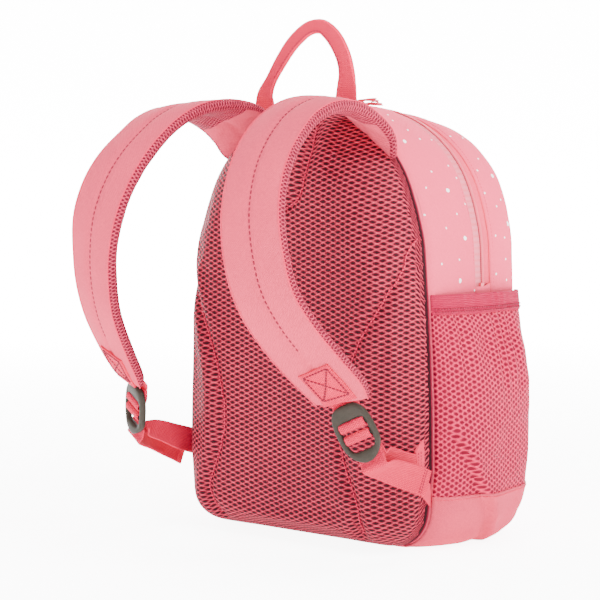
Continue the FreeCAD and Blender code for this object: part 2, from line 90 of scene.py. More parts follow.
# ------------------------------------------------------------ node helpers --
class Mat:
    def __init__(s, name):
        s.m = bpy.data.materials.new(name)
        s.m.use_nodes = True
        s.nt = s.m.node_tree
        s.b = s.nt.nodes["Principled BSDF"]

    def n(s, kind, ins=None, **props):
        nd = s.nt.nodes.new(kind)
        for k, v in props.items():
            setattr(nd, k, v)
        for k, v in (ins or {}).items():
            s.put(nd.inputs[k], v)
        return nd

    def put(s, sock, v):
        if isinstance(v, bpy.types.NodeSocket):
            s.nt.links.new(v, sock)
        else:
            sock.default_value = v

    def f(s, op, a, b=None, c=None, clamp=False):
        nd = s.nt.nodes.new("ShaderNodeMath")
        nd.operation = op
        nd.use_clamp = clamp
        for i, v in enumerate((a, b, c)):
            if v is not None:
                s.put(nd.inputs[i], v)
        return nd.outputs[0]

    def uv(s):
        u = s.n("ShaderNodeUVMap", uv_map="UVMap")
        sp = s.n("ShaderNodeSeparateXYZ", {"Vector": u.outputs[0]})
        return u.outputs[0], sp.outputs[0], sp.outputs[1]

    def noise(s, scale, detail=2.0, vec=None, rough=0.5):
        nd = s.n("ShaderNodeTexNoise", {"Scale": scale, "Detail": detail, "Roughness": rough})
        if vec is not None:
            s.put(nd.inputs["Vector"], vec)
        return nd.outputs["Fac"]

    def obj(s):
        return s.n("ShaderNodeTexCoord").outputs["Object"]

    def ramp(s, fac, stops):
        nd = s.n("ShaderNodeValToRGB", {"Fac": fac})
        r = nd.color_ramp
        while len(r.elements) < len(stops):
            r.elements.new(0.5)
        for e, (p, c) in zip(r.elements, stops):
            e.position = p
            e.color = (*c, 1) if len(c) == 3 else c
        return nd.outputs["Color"]

    def mix(s, fac, a, b, blend="MIX"):
        nd = s.n("ShaderNodeMix", data_type="RGBA", blend_type=blend)
        s.put(nd.inputs[0], fac)
        for i, v in ((6, a), (7, b)):
            s.put(nd.inputs[i], (*v, 1) if isinstance(v, tuple) and len(v) == 3 else v)
        return nd.outputs[2]

    def smooth(s, v, lo, hi, a=0.0, b=1.0):
        nd = s.n("ShaderNodeMapRange", {"Value": v, "From Min": lo, "From Max": hi, "To Min": a, "To Max": b},
                 interpolation_type="SMOOTHSTEP")
        return nd.outputs[0]

    def out(s, color, height=None, dist=0.0002, strength=0.6, rough=0.8, sheen=0.25, spec=0.3, alpha=None, metal=0.0):
        s.put(s.b.inputs["Base Color"], color if isinstance(color, bpy.types.NodeSocket) else (*color, 1))
        s.put(s.b.inputs["Roughness"], rough)
        s.b.inputs["Sheen Weight"].default_value = sheen * 0.12
        s.b.inputs["Sheen Tint"].default_value = (1.0, 0.45, 0.5, 1)
        s.b.inputs["Sheen Roughness"].default_value = 0.5
        s.b.inputs["Specular IOR Level"].default_value = spec if metal or spec >= 0.5 else spec * 0.3
        s.b.inputs["Metallic"].default_value = metal
        if height is not None:
            bp = s.n("ShaderNodeBump", {"Height": height, "Distance": dist * 1.9, "Strength": min(1.0, strength * 1.25)})
            s.nt.links.new(bp.outputs[0], s.b.inputs["Normal"])
        if alpha is not None:
            s.put(s.b.inputs["Alpha"], alpha)
        return s.m


# Tones as (base, lighter) pairs, mixed by noise. In the air, strapm and pocket rows the four tones are: thread, a
# painted highlight for the thread crowns, and painted shade for the holes at their centre and at their rim.
TONE = {
    "twill": ((0.4570, 0.0376, 0.0742), (0.7747, 0.0599, 0.1162)),
    "printt": ((0.7278, 0.0580, 0.1201), (0.9200, 0.0880, 0.1764)),
    "under": ((0.5187, 0.0216, 0.0621), (0.8505, 0.0260, 0.0839)),
    "air": ((0.3772, 0.0218, 0.0537), (0.9200, 0.0510, 0.1097), (0.0166, 0.0012, 0.0035), (0.0973, 0.0033, 0.0130)),
    "strapm": ((0.5357, 0.0274, 0.0716), (0.9200, 0.0807, 0.1646), (0.1063, 0.0035, 0.0138), (0.1989, 0.0043, 0.0244)),
    "pocket": ((0.5524, 0.0127, 0.0650), (0.9200, 0.0387, 0.1242), (0.1625, 0.0012, 0.0158), (0.2404, 0.0012, 0.0281)),
    "web": ((0.4000, 0.0030, 0.0330), (0.9200, 0.0150, 0.0760)),
    "elastic": ((0.3700, 0.0045, 0.0471), (0.7179, 0.0015, 0.0764)),
    "lining": ((0.2939, 0.0767, 0.0931), (0.5127, 0.1121, 0.1346)),
    "tape": ((0.9200, 0.1110, 0.1729), (0.9200, 0.2402, 0.3174)),
    "tape2": ((0.6356, 0.0413, 0.0882), (0.9200, 0.0857, 0.1670)),
    "coil": ((0.5586, 0.0387, 0.0815), (0.9200, 0.1058, 0.1816)),
    "metal": ((0.4621, 0.0346, 0.0685), (0.8839, 0.0565, 0.1156)),
    "buckle": ((0.0225, 0.0177, 0.0136), (0.0505, 0.0431, 0.0337)),
    "thread": ((0.1746, 0.0071, 0.0249), (0.2969, 0.0088, 0.0378)),
    "thread2": ((0.1273, 0.0066, 0.0190), (0.2250, 0.0108, 0.0327)),
    "thread3": ((0.4478, 0.0129, 0.0525), (0.8471, 0.0216, 0.0881)),
    "dot": ((0.9200, 0.9200, 0.9200), (0.9200, 0.9200, 0.9200)),
}


def lin(c):
    """A tone as given, or one of the table's tones by name and place."""
    if isinstance(c, str):
        k, i = c.split(":")
        return TONE[k][int(i)]
    return tuple(c)


def twill(name, base, light, pitch=1.75, dirn=1.0, line=0.10):
    g = Mat(name)
    _, u, v = g.uv()
    d = g.f("ADD", g.f("MULTIPLY", u, dirn), v)
    wob = g.noise(260.0, 1.0, g.obj())
    d = g.f("ADD", d, g.f("MULTIPLY", wob, 0.5))
    w = g.f("SINE", g.f("MULTIPLY", d, 2 * math.pi / pitch))
    x = g.f("SINE", g.f("MULTIPLY", g.f("SUBTRACT", u, v), 2 * math.pi / 1.7))
    hgt = g.f("ADD", g.f("MULTIPLY", w, 0.35), g.f("ADD", g.f("MULTIPLY", x, 0.2), g.noise(700.0, 2.0, g.obj())))
    n1 = g.noise(14.0, 3.0, g.obj())
    n2 = g.noise(620.0, 3.0, g.obj(), 0.7)
    fac = g.f("ADD", g.f("MULTIPLY", n1, 0.45), g.f("MULTIPLY", g.f("SUBTRACT", n2, 0.30), 0.95))
    fac = g.f("ADD", fac, g.f("MULTIPLY", w, line), clamp=True)
    col = g.mix(fac, lin(base), lin(light))
    r = g.f("ADD", 0.74, g.f("MULTIPLY", n2, 0.16))
    return g.out(col, hgt, 0.00016, 0.55, r, 0.35, 0.25)


def airmesh(name, px, py, hx, hy, thread, crown_highlight, hole_deep_shade, hole_rim_shade, depth=0.0009, warp=0.35):
    """Knitted spacer mesh: staggered oval holes between plump threads; the thread crowns carry a painted highlight and
    the holes hold painted shade, deepest at their centres.
    """
    g = Mat(name)
    uvv, u, v = g.uv()
    nx = g.n("ShaderNodeTexNoise", {"Vector": uvv, "Scale": 0.35, "Detail": 1.0})
    sp = g.n("ShaderNodeSeparateColor", {"Color": nx.outputs["Color"]})
    u = g.f("ADD", u, g.f("MULTIPLY", g.f("SUBTRACT", sp.outputs[0], 0.5), warp * 2))
    v = g.f("ADD", v, g.f("MULTIPLY", g.f("SUBTRACT", sp.outputs[1], 0.5), warp * 2))

    def cell(ou, ov):
        a = g.f("WRAP", g.f("ADD", u, ou), px, -px)
        b = g.f("WRAP", g.f("ADD", v, ov), py / 2, -py / 2)
        a = g.f("DIVIDE", a, hx)
        b = g.f("DIVIDE", b, hy)
        a = g.f("POWER", g.f("ABSOLUTE", a), 1.7)
        b = g.f("POWER", g.f("ABSOLUTE", b), 1.7)
        return g.f("ADD", a, b)

    d = g.f("MINIMUM", cell(0.0, 0.0), cell(px, py / 2))
    edge = g.smooth(d, 0.55, 1.35)            # 0 in a hole, 1 on a thread
    # crown: the rise of each thread, used for its bump and also as the mask of its painted highlight
    crown_bump_and_highlight = g.smooth(d, 1.0, 2.6)
    n1 = g.noise(22.0, 2.0, g.obj())
    n2 = g.noise(1400.0, 2.0, g.obj())
    # painted highlight: the tops of the threads are mixed toward a lighter tone
    tc = g.mix(g.f("ADD", g.f("MULTIPLY", crown_bump_and_highlight, 0.65), g.f("MULTIPLY", n1, 0.30), clamp=True), lin(thread), lin(crown_highlight))
    tc = g.mix(g.f("MULTIPLY", n2, 0.35), tc, lin(thread))
    # painted shade in the holes: darkest at their centres, lighter toward their rims
    hc = g.mix(g.smooth(d, 0.1, 0.75), lin(hole_deep_shade), lin(hole_rim_shade))
    col = g.mix(edge, hc, tc)
    hgt = g.f("ADD", edge, g.f("MULTIPLY", crown_bump_and_highlight, 0.5))
    hgt = g.f("ADD", hgt, g.f("MULTIPLY", n2, 0.12))
    r = g.f("ADD", 0.62, g.f("MULTIPLY", edge, 0.15))
    return g.out(col, hgt, depth, 0.9, r, 0.2, 0.3)


def webbing(name, base, light, rib=2.4, weft=1.5):
    """Flat woven strap: u across its width, v along it."""
    g = Mat(name)
    _, u, v = g.uv()
    r1 = g.f("SINE", g.f("MULTIPLY", u, 2 * math.pi / rib))
    ph = g.f("MULTIPLY", g.f("SIGN", r1), 1.2)
    r2 = g.f("SINE", g.f("ADD", g.f("MULTIPLY", v, 2 * math.pi / weft), ph))
    n2 = g.noise(1100.0, 2.0, g.obj())
    n1 = g.noise(40.0, 2.0, g.obj())
    hh = g.f("ADD", g.f("ABSOLUTE", r1), g.f("MULTIPLY", r2, 0.5))
    fac = g.f("ADD", g.f("MULTIPLY", hh, 0.5), g.f("ADD", g.f("MULTIPLY", n1, 0.25), g.f("MULTIPLY", n2, 0.25)), clamp=True)
    col = g.mix(fac, lin(base), lin(light))
    return g.out(col, hh, 0.00022, 0.75, g.f("ADD", 0.55, g.f("MULTIPLY", n2, 0.2)), 0.25, 0.35)


def elastic(name, base, light):
    g = Mat(name)
    _, u, v = g.uv()
    r1 = g.f("SINE", g.f("MULTIPLY", v, 2 * math.pi / 1.35))
    n0 = g.n("ShaderNodeTexNoise", {"Vector": g.uv()[0], "Scale": 0.6, "Detail": 1.0}).outputs["Fac"]
    r2 = g.f("SINE", g.f("ADD", g.f("MULTIPLY", u, 2 * math.pi / 1.0), g.f("MULTIPLY", n0, 3.0)))
    hh = g.f("ADD", r1, g.f("MULTIPLY", r2, 0.35))
    n2 = g.noise(900.0, 2.0, g.obj())
    fac = g.f("ADD", g.f("ADD", 0.35, g.f("MULTIPLY", r1, 0.22)), g.f("MULTIPLY", n2, 0.3), clamp=True)
    col = g.mix(fac, lin(base), lin(light))
    return g.out(col, hh, 0.00025, 0.8, 0.7, 0.3, 0.3)


def plain(name, base, light, scale=300.0, rough=0.6, sheen=0.1, dist=0.00008, spec=0.4, metal=0.0):
    g = Mat(name)
    n1 = g.noise(scale, 3.0, g.obj())
    n2 = g.noise(scale * 0.12, 2.0, g.obj())
    col = g.mix(g.f("ADD", g.f("MULTIPLY", n1, 0.5), g.f("MULTIPLY", n2, 0.4), clamp=True), lin(base), lin(light))
    return g.out(col, n1, dist, 0.5, g.f("ADD", rough - 0.08, g.f("MULTIPLY", n1, 0.18)), sheen, spec, metal=metal)


M_TWILL = twill("twill_pink", "twill:0", "twill:1")
M_PRINT = twill("twill_print", "printt:0", "printt:1", line=0.05)
M_UNDER = twill("twill_under", "under:0", "under:1", line=0.08)
M_AIR = airmesh("air_mesh", 4.7, 4.0, 2.55, 1.12, "air:0", "air:1", "air:2", "air:3")
M_STRAPMESH = airmesh("strap_air_mesh", 3.3, 2.9, 1.7, 0.85, "strapm:0", "strapm:1", "strapm:2", "strapm:3")
M_POCKET = airmesh("pocket_mesh", 3.5, 4.1, 1.5, 1.25, "pocket:0", "pocket:1", "pocket:2", "pocket:3", depth=0.0006, warp=0.5)
M_WEB = webbing("webbing", "web:0", "web:1")
M_ELASTIC = elastic("elastic_band", "elastic:0", "elastic:1")
M_LINING = plain("lining", "lining:0", "lining:1", 500.0, 0.75, 0.2)
M_TAPE = webbing("zip_tape", "tape:0", "tape:1", rib=9.0, weft=0.8)
M_TAPE2 = twill("zip_tape_ribbed", "tape2:0", "tape2:1", pitch=1.6, line=0.22)
M_COIL = plain("zip_coil", "coil:0", "coil:1", 700.0, 0.4, 0.0, spec=0.5)
M_METAL = plain("zip_metal", "metal:0", "metal:1", 400.0, 0.32, 0.0, spec=0.6, metal=0.25)
M_BUCKLE = plain("buckle_plastic", "buckle:0", "buckle:1", 1500.0, 0.44, 0.0, 0.00006, 0.34)
M_THREAD = plain("thread", "thread:0", "thread:1", 900.0, 0.6, 0.2)
M_THREAD2 = plain("thread_dark", "thread2:0", "thread2:1", 900.0, 0.6, 0.2)
M_THREAD3 = plain("thread_pink", "thread3:0", "thread3:1", 900.0, 0.6, 0.2)
M_DOT = plain("print_white", "dot:0", "dot:1", 600.0, 0.7, 0.1)


# ------------------------------------------------------------ mesh helpers --
def link(ob):
    bpy.context.scene.collection.objects.link(ob)
    return ob


def grid(name, P, UV=None, wrap=False, mats=(), fmat=None, flip=False, merge=0.0):
    P = np.asarray(P, float)
    nu, nv = P.shape[:2]
    I, J = np.meshgrid(np.arange(nu if wrap else nu - 1), np.arange(nv - 1), indexing="ij")
    I, J = I.ravel(), J.ravel()
    I2 = (I + 1) % nu
    F = np.stack([I * nv + J, I2 * nv + J, I2 * nv + J + 1, I * nv + J + 1], 1)
    iu = np.stack([I, I + 1, I + 1, I], 1)
    iv = np.stack([J, J, J + 1, J + 1], 1)
    if flip:
        F, iu, iv = F[:, ::-1], iu[:, ::-1], iv[:, ::-1]
    me = bpy.data.meshes.new(name)
    me.from_pydata((P.reshape(-1, 3) * 0.001).tolist(), [], F.tolist())
    if UV is not None:
        UV = np.asarray(UV, float)
        l = me.uv_layers.new(name="UVMap")
        l.data.foreach_set("uv", UV[np.minimum(iu, UV.shape[0] - 1), iv].reshape(-1).astype(np.float32))
    for m_ in mats:
        me.materials.append(m_)
    if fmat is not None:
        me.polygons.foreach_set("material_index", np.asarray([fmat(i, j) for i, j in zip(I, J)], np.int32))
    me.polygons.foreach_set("use_smooth", [True] * len(me.polygons))
    ob = link(bpy.data.objects.new(name, me))
    if merge:
        weld(ob, merge)
    return ob


def weld(ob, d):
    import bmesh
    bm = bmesh.new()
    bm.from_mesh(ob.data)
    bmesh.ops.remove_doubles(bm, verts=bm.verts, dist=d * 0.001)
    bmesh.ops.dissolve_degenerate(bm, edges=bm.edges, dist=1e-6)
    bm.to_mesh(ob.data)
    bm.free()


def solid(ob, t, offset=-1.0, inner=None):
    md = ob.modifiers.new("thick", "SOLIDIFY")
    md.thickness = t * 0.001
    md.offset = offset
    md.use_even_offset = False
    if inner is not None:
        md.material_offset = inner
    return ob


def smooth_sub(ob, lv=1):
    md = ob.modifiers.new("sub", "SUBSURF")
    md.levels = lv
    md.render_levels = lv
    return ob


def raw(name, V_, F_, mat, uv=None, smooth=True):
    me = bpy.data.meshes.new(name)
    me.from_pydata((np.asarray(V_) * 0.001).tolist(), [], [list(map(int, f)) for f in F_])
    me.materials.append(mat)
    me.polygons.foreach_set("use_smooth", [smooth] * len(me.polygons))
    ob = link(bpy.data.objects.new(name, me))
    return ob


def norm(v):
    v = np.asarray(v, float)
    return v / np.maximum(np.linalg.norm(v, axis=-1, keepdims=True), 1e-12)


def resample(P, n=None, step=None):
    P = np.asarray(P, float)
    s = np.r_[0, np.cumsum(np.linalg.norm(np.diff(P, axis=0), axis=1))]
    if n is None:
        n = max(2, int(round(s[-1] / step)) + 1)
    q = np.linspace(0, s[-1], n)
    return np.stack([np.interp(q, s, P[:, k]) for k in range(P.shape[1])], 1)


def spline(P, n):
    """Smooth curve through points (Catmull-Rom), n samples evenly by length."""
    P = np.asarray(P, float)
    Q = np.vstack([2 * P[0] - P[1], P, 2 * P[-1] - P[-2]])
    out = []
    for i in range(1, len(Q) - 2):
        for t in np.linspace(0, 1, 12, endpoint=False):
            p0, p1, p2, p3 = Q[i - 1], Q[i], Q[i + 1], Q[i + 2]
            out.append(0.5 * ((2 * p1) + (-p0 + p2) * t + (2 * p0 - 5 * p1 + 4 * p2 - p3) * t * t + (-p0 + 3 * p1 - 3 * p2 + p3) * t ** 3))
    out.append(P[-1])
    return resample(out, n)


def tube(name, P, r, mat, n=8, closed=False, caps=True):
    """Round tube of radius r along the points P."""
    P = np.asarray(P, float)
    if closed:
        T = norm(np.roll(P, -1, 0) - np.roll(P, 1, 0))
    else:
        T = norm(np.gradient(P, axis=0))
    nrm = np.zeros_like(P)
    a = A([0.0, 0.0, 1.0]) if abs(T[0][2]) < 0.9 else A([1.0, 0, 0])
    for i, t in enumerate(T):
        a = a - t * a.dot(t)
        a = a / max(np.linalg.norm(a), 1e-9)
        nrm[i] = a
    b = np.cross(T, nrm)
    th = np.linspace(0, 2 * math.pi, n, endpoint=False)
    rr = np.full(len(P), float(r)) if np.isscalar(r) else np.asarray(r, float)
    V_ = P[:, None] + rr[:, None, None] * (nrm[:, None] * np.cos(th)[None, :, None] + b[:, None] * np.sin(th)[None, :, None])
    m_ = len(P)
    F_ = []
    for i in range(m_ if closed else m_ - 1):
        i2 = (i + 1) % m_
        for j in range(n):
            F_.append([i * n + j, i * n + (j + 1) % n, i2 * n + (j + 1) % n, i2 * n + j])
    if not closed and caps:
        F_.append([j for j in range(n)][::-1])
        F_.append([(m_ - 1) * n + j for j in range(n)])
    return raw(name, V_.reshape(-1, 3), F_, mat)


def stitches(name, P, Nn, mat, pitch=3.0, length=2.0, rad=0.33, sink=0.12, width=1.25):
    """Row of separate sewn stitches lying on a surface along the points P."""
    P = np.asarray(P, float)
    Nn = np.asarray(Nn, float)
    s = np.r_[0, np.cumsum(np.linalg.norm(np.diff(P, axis=0), axis=1))]
    c = np.arange(pitch / 2, s[-1], pitch)
    V_, F_ = [], []
    n = 6
    prof = [(-0.5, 0.0, -0.35), (-0.46, 0.75, 0.0), (-0.2, 1.0, 0.12), (0.2, 1.0, 0.12), (0.46, 0.75, 0.0), (0.5, 0.0, -0.35)]

    def at(q):
        return A([np.interp(q, s, P[:, k]) for k in range(3)]), norm(A([np.interp(q, s, Nn[:, k]) for k in range(3)]))

    for q in c:
        p, nn = at(q)
        p0, _ = at(max(0, q - length / 2))
        p1, _ = at(min(s[-1], q + length / 2))
        t = norm(p1 - p0)
        bb = norm(np.cross(t, nn))
        base = len(V_)
        for (f, w_, dz) in prof:
            cc = p + t * f * length + nn * (rad * (dz - sink))
            for k in range(n):
                th = 2 * math.pi * k / n
                V_.append(cc + rad * w_ * (nn * math.sin(th) + bb * math.cos(th) * width))
        for a_ in range(len(prof) - 1):
            for k in range(n):
                F_.append([base + a_ * n + k, base + a_ * n + (k + 1) % n, base + (a_ + 1) * n + (k + 1) % n, base + (a_ + 1) * n + k])
    return raw(name, V_, F_, mat)


def join(name, obs):
    """One object from several, keeping materials and UVs."""
    bpy.ops.object.select_all(action="DESELECT")
    for o in obs:
        o.select_set(True)
    bpy.context.view_layer.objects.active = obs[0]
    bpy.ops.object.join()
    obs[0].name = name
    obs[0].data.name = name
    return obs[0]


def bake(ob):
    """Applies every modifier."""
    dg = bpy.context.evaluated_depsgraph_get()
    me = bpy.data.meshes.new_from_object(ob.evaluated_get(dg), preserve_all_data_layers=True, depsgraph=dg)
    ob.modifiers.clear()
    ob.data = me
    return ob


def rides(ob, body, reps=()):
    if reps:
        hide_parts(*reps)
    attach(ob, body)
    return ob


def vnoise(x, y, z, s):
    return noise.noise(Vector((x * s, y * s, z * s)))


# ----------------------------------------------------- the bag's own shape --
_lo, _hi = nb("rear_top_gusset")
TOPB = _hi[2]                       # top of the arch
YB = _hi[1]                         # back seam plane
HWB = nb("side_gusset_right")[1][0]
YF = nb("side_gusset_right")[0][1]
FOLD = nb("front_top_gusset")[0][2]
ZG = nb("rear_top_gusset")[0][1]
NB_, NC_, NL_, NA_, NT_ = 14, 12, 74, 66, 2


def tomb(a, top, R, rb, zb):
    R = min(R, a - 0.4)
    zt = top - R
    p = []
    for t in np.linspace(0, 1, NB_, endpoint=False):
        p.append((t * (a - rb), zb))
    for t in np.linspace(0, math.pi / 2, NC_, endpoint=False):
        p.append((a - rb + rb * math.sin(t), zb + rb - rb * math.cos(t)))
    for t in np.linspace(0, 1, NL_, endpoint=False):
        p.append((a, zb + rb + t * (zt - zb - rb)))
    for t in np.linspace(0, math.pi / 2, NA_, endpoint=False):
        p.append((a - R + R * math.cos(t), zt + R * math.sin(t)))
    for t in np.linspace(0, 1, NT_, endpoint=False):
        p.append(((a - R) * (1 - t), top))
    p = A(p)
    left = p[1:][::-1] * A([-1, 1])
    return np.vstack([p, [[0, top]], left])


NP_ = len(tomb(100, 300, 90, 28, 0))
TZ_ = A([0, 25, 61, 104, 141, 182, 221, 243, 259, 279, 296, 312, 330.0])
TB_ = A([0, 2, 6.0, 5.5, 4.0, 1.5, -1.5, -4, -4.4, -3, -2, -1, 0.0])
TM_ = A([0, 0, 1.0, 1.5, 2.0, 2.0, 0.3, -1, -1.0, 0, 0, 0, 0.0])
TF_ = A([0, 0, 1.0, 1.5, 2.0, 3.0, 2.5, 0, 0, 0, 0, 0, 0.0])


def base_lift(y, z):
    """The soft front edge of the base curls up a little."""
    f = max(0.0, min(1.0, (-y - 4.0) / 37.0))
    return 12.0 * f ** 1.8 * np.clip(1 - z / 48.0, 0, 1) ** 1.3


def ring(y, inset=0.0, puff=0.0):
    """Outline of the bag at depth y, as points (x, y, z), and outward normals."""
    if y >= 0:
        f = y / YB
        a, t, r = HWB - 1.5 * f, TOPB - 1.0 * f, TOPB - 220 - f
        tap = TM_ * (1 - f) + TB_ * f
    else:
        f = min(1.0, y / YF)
        a, t, r = HWB + (HWB - 2 - HWB) * f, TOPB + (315.0 - TOPB) * f, 108 + (84.0 - 108) * f
        tap = TM_ * (1 - f) + TF_ * f
    p = tomb(a, t, r, 28.0, 0.0)
    k = np.clip(np.abs(p[:, 0]) / 60.0, 0, 1)
    p = p + np.stack([np.sign(p[:, 0]) * k * np.interp(p[:, 1], TZ_, tap), np.zeros(len(p))], 1)
    tg = np.roll(p, -1, 0) - np.roll(p, 1, 0)
    nn = norm(np.stack([tg[:, 1], -tg[:, 0]], 1))
    if y < 0:
        p = p + np.stack([np.zeros(len(p)), base_lift(y, p[:, 1])], 1)
    fl = np.clip(p[:, 1] / 14.0, 0, 1)          # the base stays flat on the floor
    p = p + nn * (puff * fl - inset)[:, None]
    return np.stack([p[:, 0], np.full(len(p), float(y)), p[:, 1]], 1), np.stack([nn[:, 0], 0 * nn[:, 0], nn[:, 1]], 1)


def skin(name, cols, mats, rows=None, wob=0.0, seed=0.0, thick=1.8, inner=None, fmat=None):
    """Fabric skin over the outline: cols are (y, inset, puff); rows are outline indices."""
    P = []
    for (y, ins, pf) in cols:
        q, nn = ring(y, ins, pf)
        if wob:
            w_ = A([vnoise(a_[0], a_[1] + seed, a_[2], 0.022) + 0.5 * vnoise(a_[0], a_[1] * 2 + seed, a_[2], 0.06) for a_ in q])
            e = min(1.0, max(0.0, (pf + 0.2)))
            q = q + nn * (w_ * wob * e * np.clip(q[:, 2] / 20, 0, 1))[:, None]
        P.append(q)
    P = np.stack(P, 1)
    s = np.r_[0, np.cumsum(np.linalg.norm(np.diff(P[:, len(cols) // 2], axis=0), axis=1))]
    UVw = np.r_[s, s[-1] + 8]
    d = np.r_[0, np.cumsum(np.linalg.norm(np.diff(P[NP_ // 4], axis=0), axis=1))]
    UV = np.stack(np.meshgrid(UVw, d, indexing="ij"), -1)
    if rows is None:
        ob = grid(name, P, UV, wrap=True, mats=mats, fmat=fmat)
    else:
        ob = grid(name, P[rows], UV[rows], mats=mats, fmat=fmat)
    if thick:
        solid(ob, thick, -1.0, inner)
    return ob


zr = ring(0.0)[0][:, 2]

# ------------------------------------------------- fold line of the flap ----
hj = [j for j in frame["record"]["behaviour"]["joints"] if j["name"] == "flap_open"] if "behaviour" in frame["record"] else []


def flap(ob, reps=()):
    if reps:
        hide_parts(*reps)
    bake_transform(ob)
    return ob


NPT = NP_
ABOVE = np.arange(NPT)[(zr >= FOLD - 1.0)]
BELOW = np.r_[np.arange(ABOVE[-1], NPT), np.arange(0, ABOVE[0] + 1)]
EDGE = 1.9

# rear gusset: folded edge at the zip, a slight pillow, turned into the back seam
t_ = np.linspace(0, 1, 13)
cols = [(YB - 0.2, 3.4, 0), (YB - 0.05, 1.9, 0), (YB - 0.7, 0.5, 0), (YB - 2.0, -0.5, 0)]
cols += [(YB - 3.5 - t * (YB - 3.5 - 15.0), -0.7 - 1.5 * math.sin(math.pi * (0.12 + 0.8 * t)) ** 0.9, 0.6) for t in t_]
cols += [(12.6, -0.9, 0.2), (11.2, -0.75, 0.0), (10.3, -0.45, 0), (9.8, 0.3, 0), (9.9, 1.3, 0), (12.0, 1.7, 0)]
g1 = skin("v_rear_gusset", [(y, i_ + (0.0 if y > 14 else 0.0), p) for (y, i_, p) in cols], (M_PRINT, M_LINING), wob=1.3, seed=3.0, inner=1)
rides(g1, "bag", ["rear_top_gusset"])

cols = [(9.9, 1.5, 0), (9.4, 0.1, 0), (8.6, -0.6, 0.1), (5.0, -1.1, 0.3), (0, -1.3, 0.3), (-5, -1.1, 0.3), (-8.6, -0.6, 0.1), (-9.4, 0.1, 0), (-9.9, 1.5, 0)]
g2 = skin("v_side_strip", cols, (M_PRINT, M_LINING), rows=BELOW, wob=0.7, seed=8.0, inner=1)
rides(g2, "bag", ["side_gusset_left", "side_gusset_right", "base_panel"])

YFA = abs(YF)
cols = [(-12.0, 1.7, 0), (-9.9, 1.3, 0), (-9.8, 0.3, 0), (-10.3, -0.45, 0), (-11.2, -0.75, 0), (-12.6, -0.9, 0.2)]
cols += [(-15 - t * (YFA - 18.5), -0.9 - 1.1 * math.sin(math.pi * (0.1 + 0.8 * t)), 0.5) for t in np.linspace(0, 1, 7)]
cols += [(-YFA + 2.0, -0.5, 0), (-YFA + 0.7, 0.5, 0), (-YFA + 0.05, 1.9, 0), (-YFA + 0.2, 3.4, 0)]
g3 = skin("v_front_gusset", cols, (M_PRINT, M_LINING), wob=1.1, seed=5.0, inner=1)
flap(g3, ["front_top_gusset"])

# the zip: two tapes, two rows of teeth
tr = skin("v_zip_tape_rear", [(11.5, 1.25, 0), (8.5, 1.1, 0), (5.5, 1.0, 0), (3.0, 1.0, 0), (1.9, 0.9, 0), (1.3, 1.0, 0)], (M_TAPE,), rows=ABOVE, thick=0.6)
rides(tr, "bag", ["main_zip_tape_rear"])
tf = skin("v_zip_tape_front", [(-1.3, 1.0, 0), (-1.9, 0.9, 0), (-3.0, 1.0, 0), (-5.5, 1.0, 0), (-8.5, 1.1, 0), (-11.5, 1.25, 0)], (M_TAPE2,), rows=ABOVE, thick=0.6)
flap(tf, ["main_zip_tape_front"])


def teeth(name, P, Nn, D_, off, mat, pitch=1.5, L=2.2, r=0.62):
    s = np.r_[0, np.cumsum(np.linalg.norm(np.diff(P, axis=0), axis=1))]
    V_, F_ = [], []
    n = 6
    prof = [(0.0, 0.55), (0.12, 0.95), (0.5, 0.9), (0.82, 1.15), (1.0, 0.7)]
    for q in np.arange(off + pitch / 2, s[-1], pitch):
        p = A([np.interp(q, s, P[:, k]) for k in range(3)])
        nn = norm(A([np.interp(q, s, Nn[:, k]) for k in range(3)]))
        bb = np.cross(D_, nn)
        base = len(V_)
        for f_, w_ in prof:
            for k in range(n):
                th = 2 * math.pi * k / n
                V_.append(p + D_ * (1.6 - f_ * L) + r * w_ * (nn * math.sin(th) * 1.25 + bb * math.cos(th)))
        for a_ in range(len(prof) - 1):
            for k in range(n):
                F_.append([base + a_ * n + k, base + a_ * n + (k + 1) % n, base + (a_ + 1) * n + (k + 1) % n, base + (a_ + 1) * n + k])
        F_.append([base + k for k in range(n)][::-1])
        F_.append([base + (len(prof) - 1) * n + k for k in range(n)])
    return raw(name, V_, F_, mat)


ZP, ZN = ring(0.0, 0.35)
ZP, ZN = ZP[ABOVE], ZN[ABOVE]
c1 = teeth("v_zip_teeth_rear", ZP, ZN, A([0, 1.0, 0]), 0.0, M_COIL)
rides(c1, "bag", ["main_zip_coil_rear"])
c2 = teeth("v_zip_teeth_front", ZP, ZN, A([0, -1.0, 0]), 0.75, M_COIL)
flap(c2, ["main_zip_coil_front"])

# rows of stitching beside the zip
for nm, y, ins, rows in (("v_stitch_zip_rear", 12.4, -1.05, ABOVE), ("v_stitch_zip_front", -12.4, -1.05, ABOVE)):
    q, nn = ring(y, ins)
    o = stitches(nm, resample(q[rows], step=1.5), resample(np.hstack([q[rows], nn[rows]]), step=1.5)[:, 3:], M_THREAD3, 2.7, 1.9, 0.26)
    if y > 0:
        rides(o, "bag")
    else:
        flap(o)

for n_ in ("main_zip_stops",):
    o = bpy.data.objects[n_]
    o.data.materials.clear()
    o.data.materials.append(M_METAL)


# ---------------------------------------------------------- domed panels ----
def cap_rows(y, inset, nx):
    q, _ = ring(y, inset)
    i0, i1 = NB_, NB_ + NC_ + NL_ + NA_
    xs, zs = q[i0:i1 + 1, 0], q[i0:i1 + 1, 2]
    s = np.linspace(-1, 1, nx)
    t = 0.55 * s + 0.45 * np.sin(s * math.pi / 2)
    X = xs[:, None] * t[None]
    Z = np.repeat(zs[:, None], nx, 1)
    c = resample(np.vstack([q[:, [0, 2]], q[:1, [0, 2]]]), step=1.0)
    d = np.empty(X.size)
    f = np.stack([X.ravel(), Z.ravel()], 1)
    for k in range(0, len(f), 2000):
        d[k:k + 2000] = np.sqrt(((f[k:k + 2000, None] - c[None]) ** 2).sum(-1).min(1))
    return X, Z, d.reshape(X.shape)


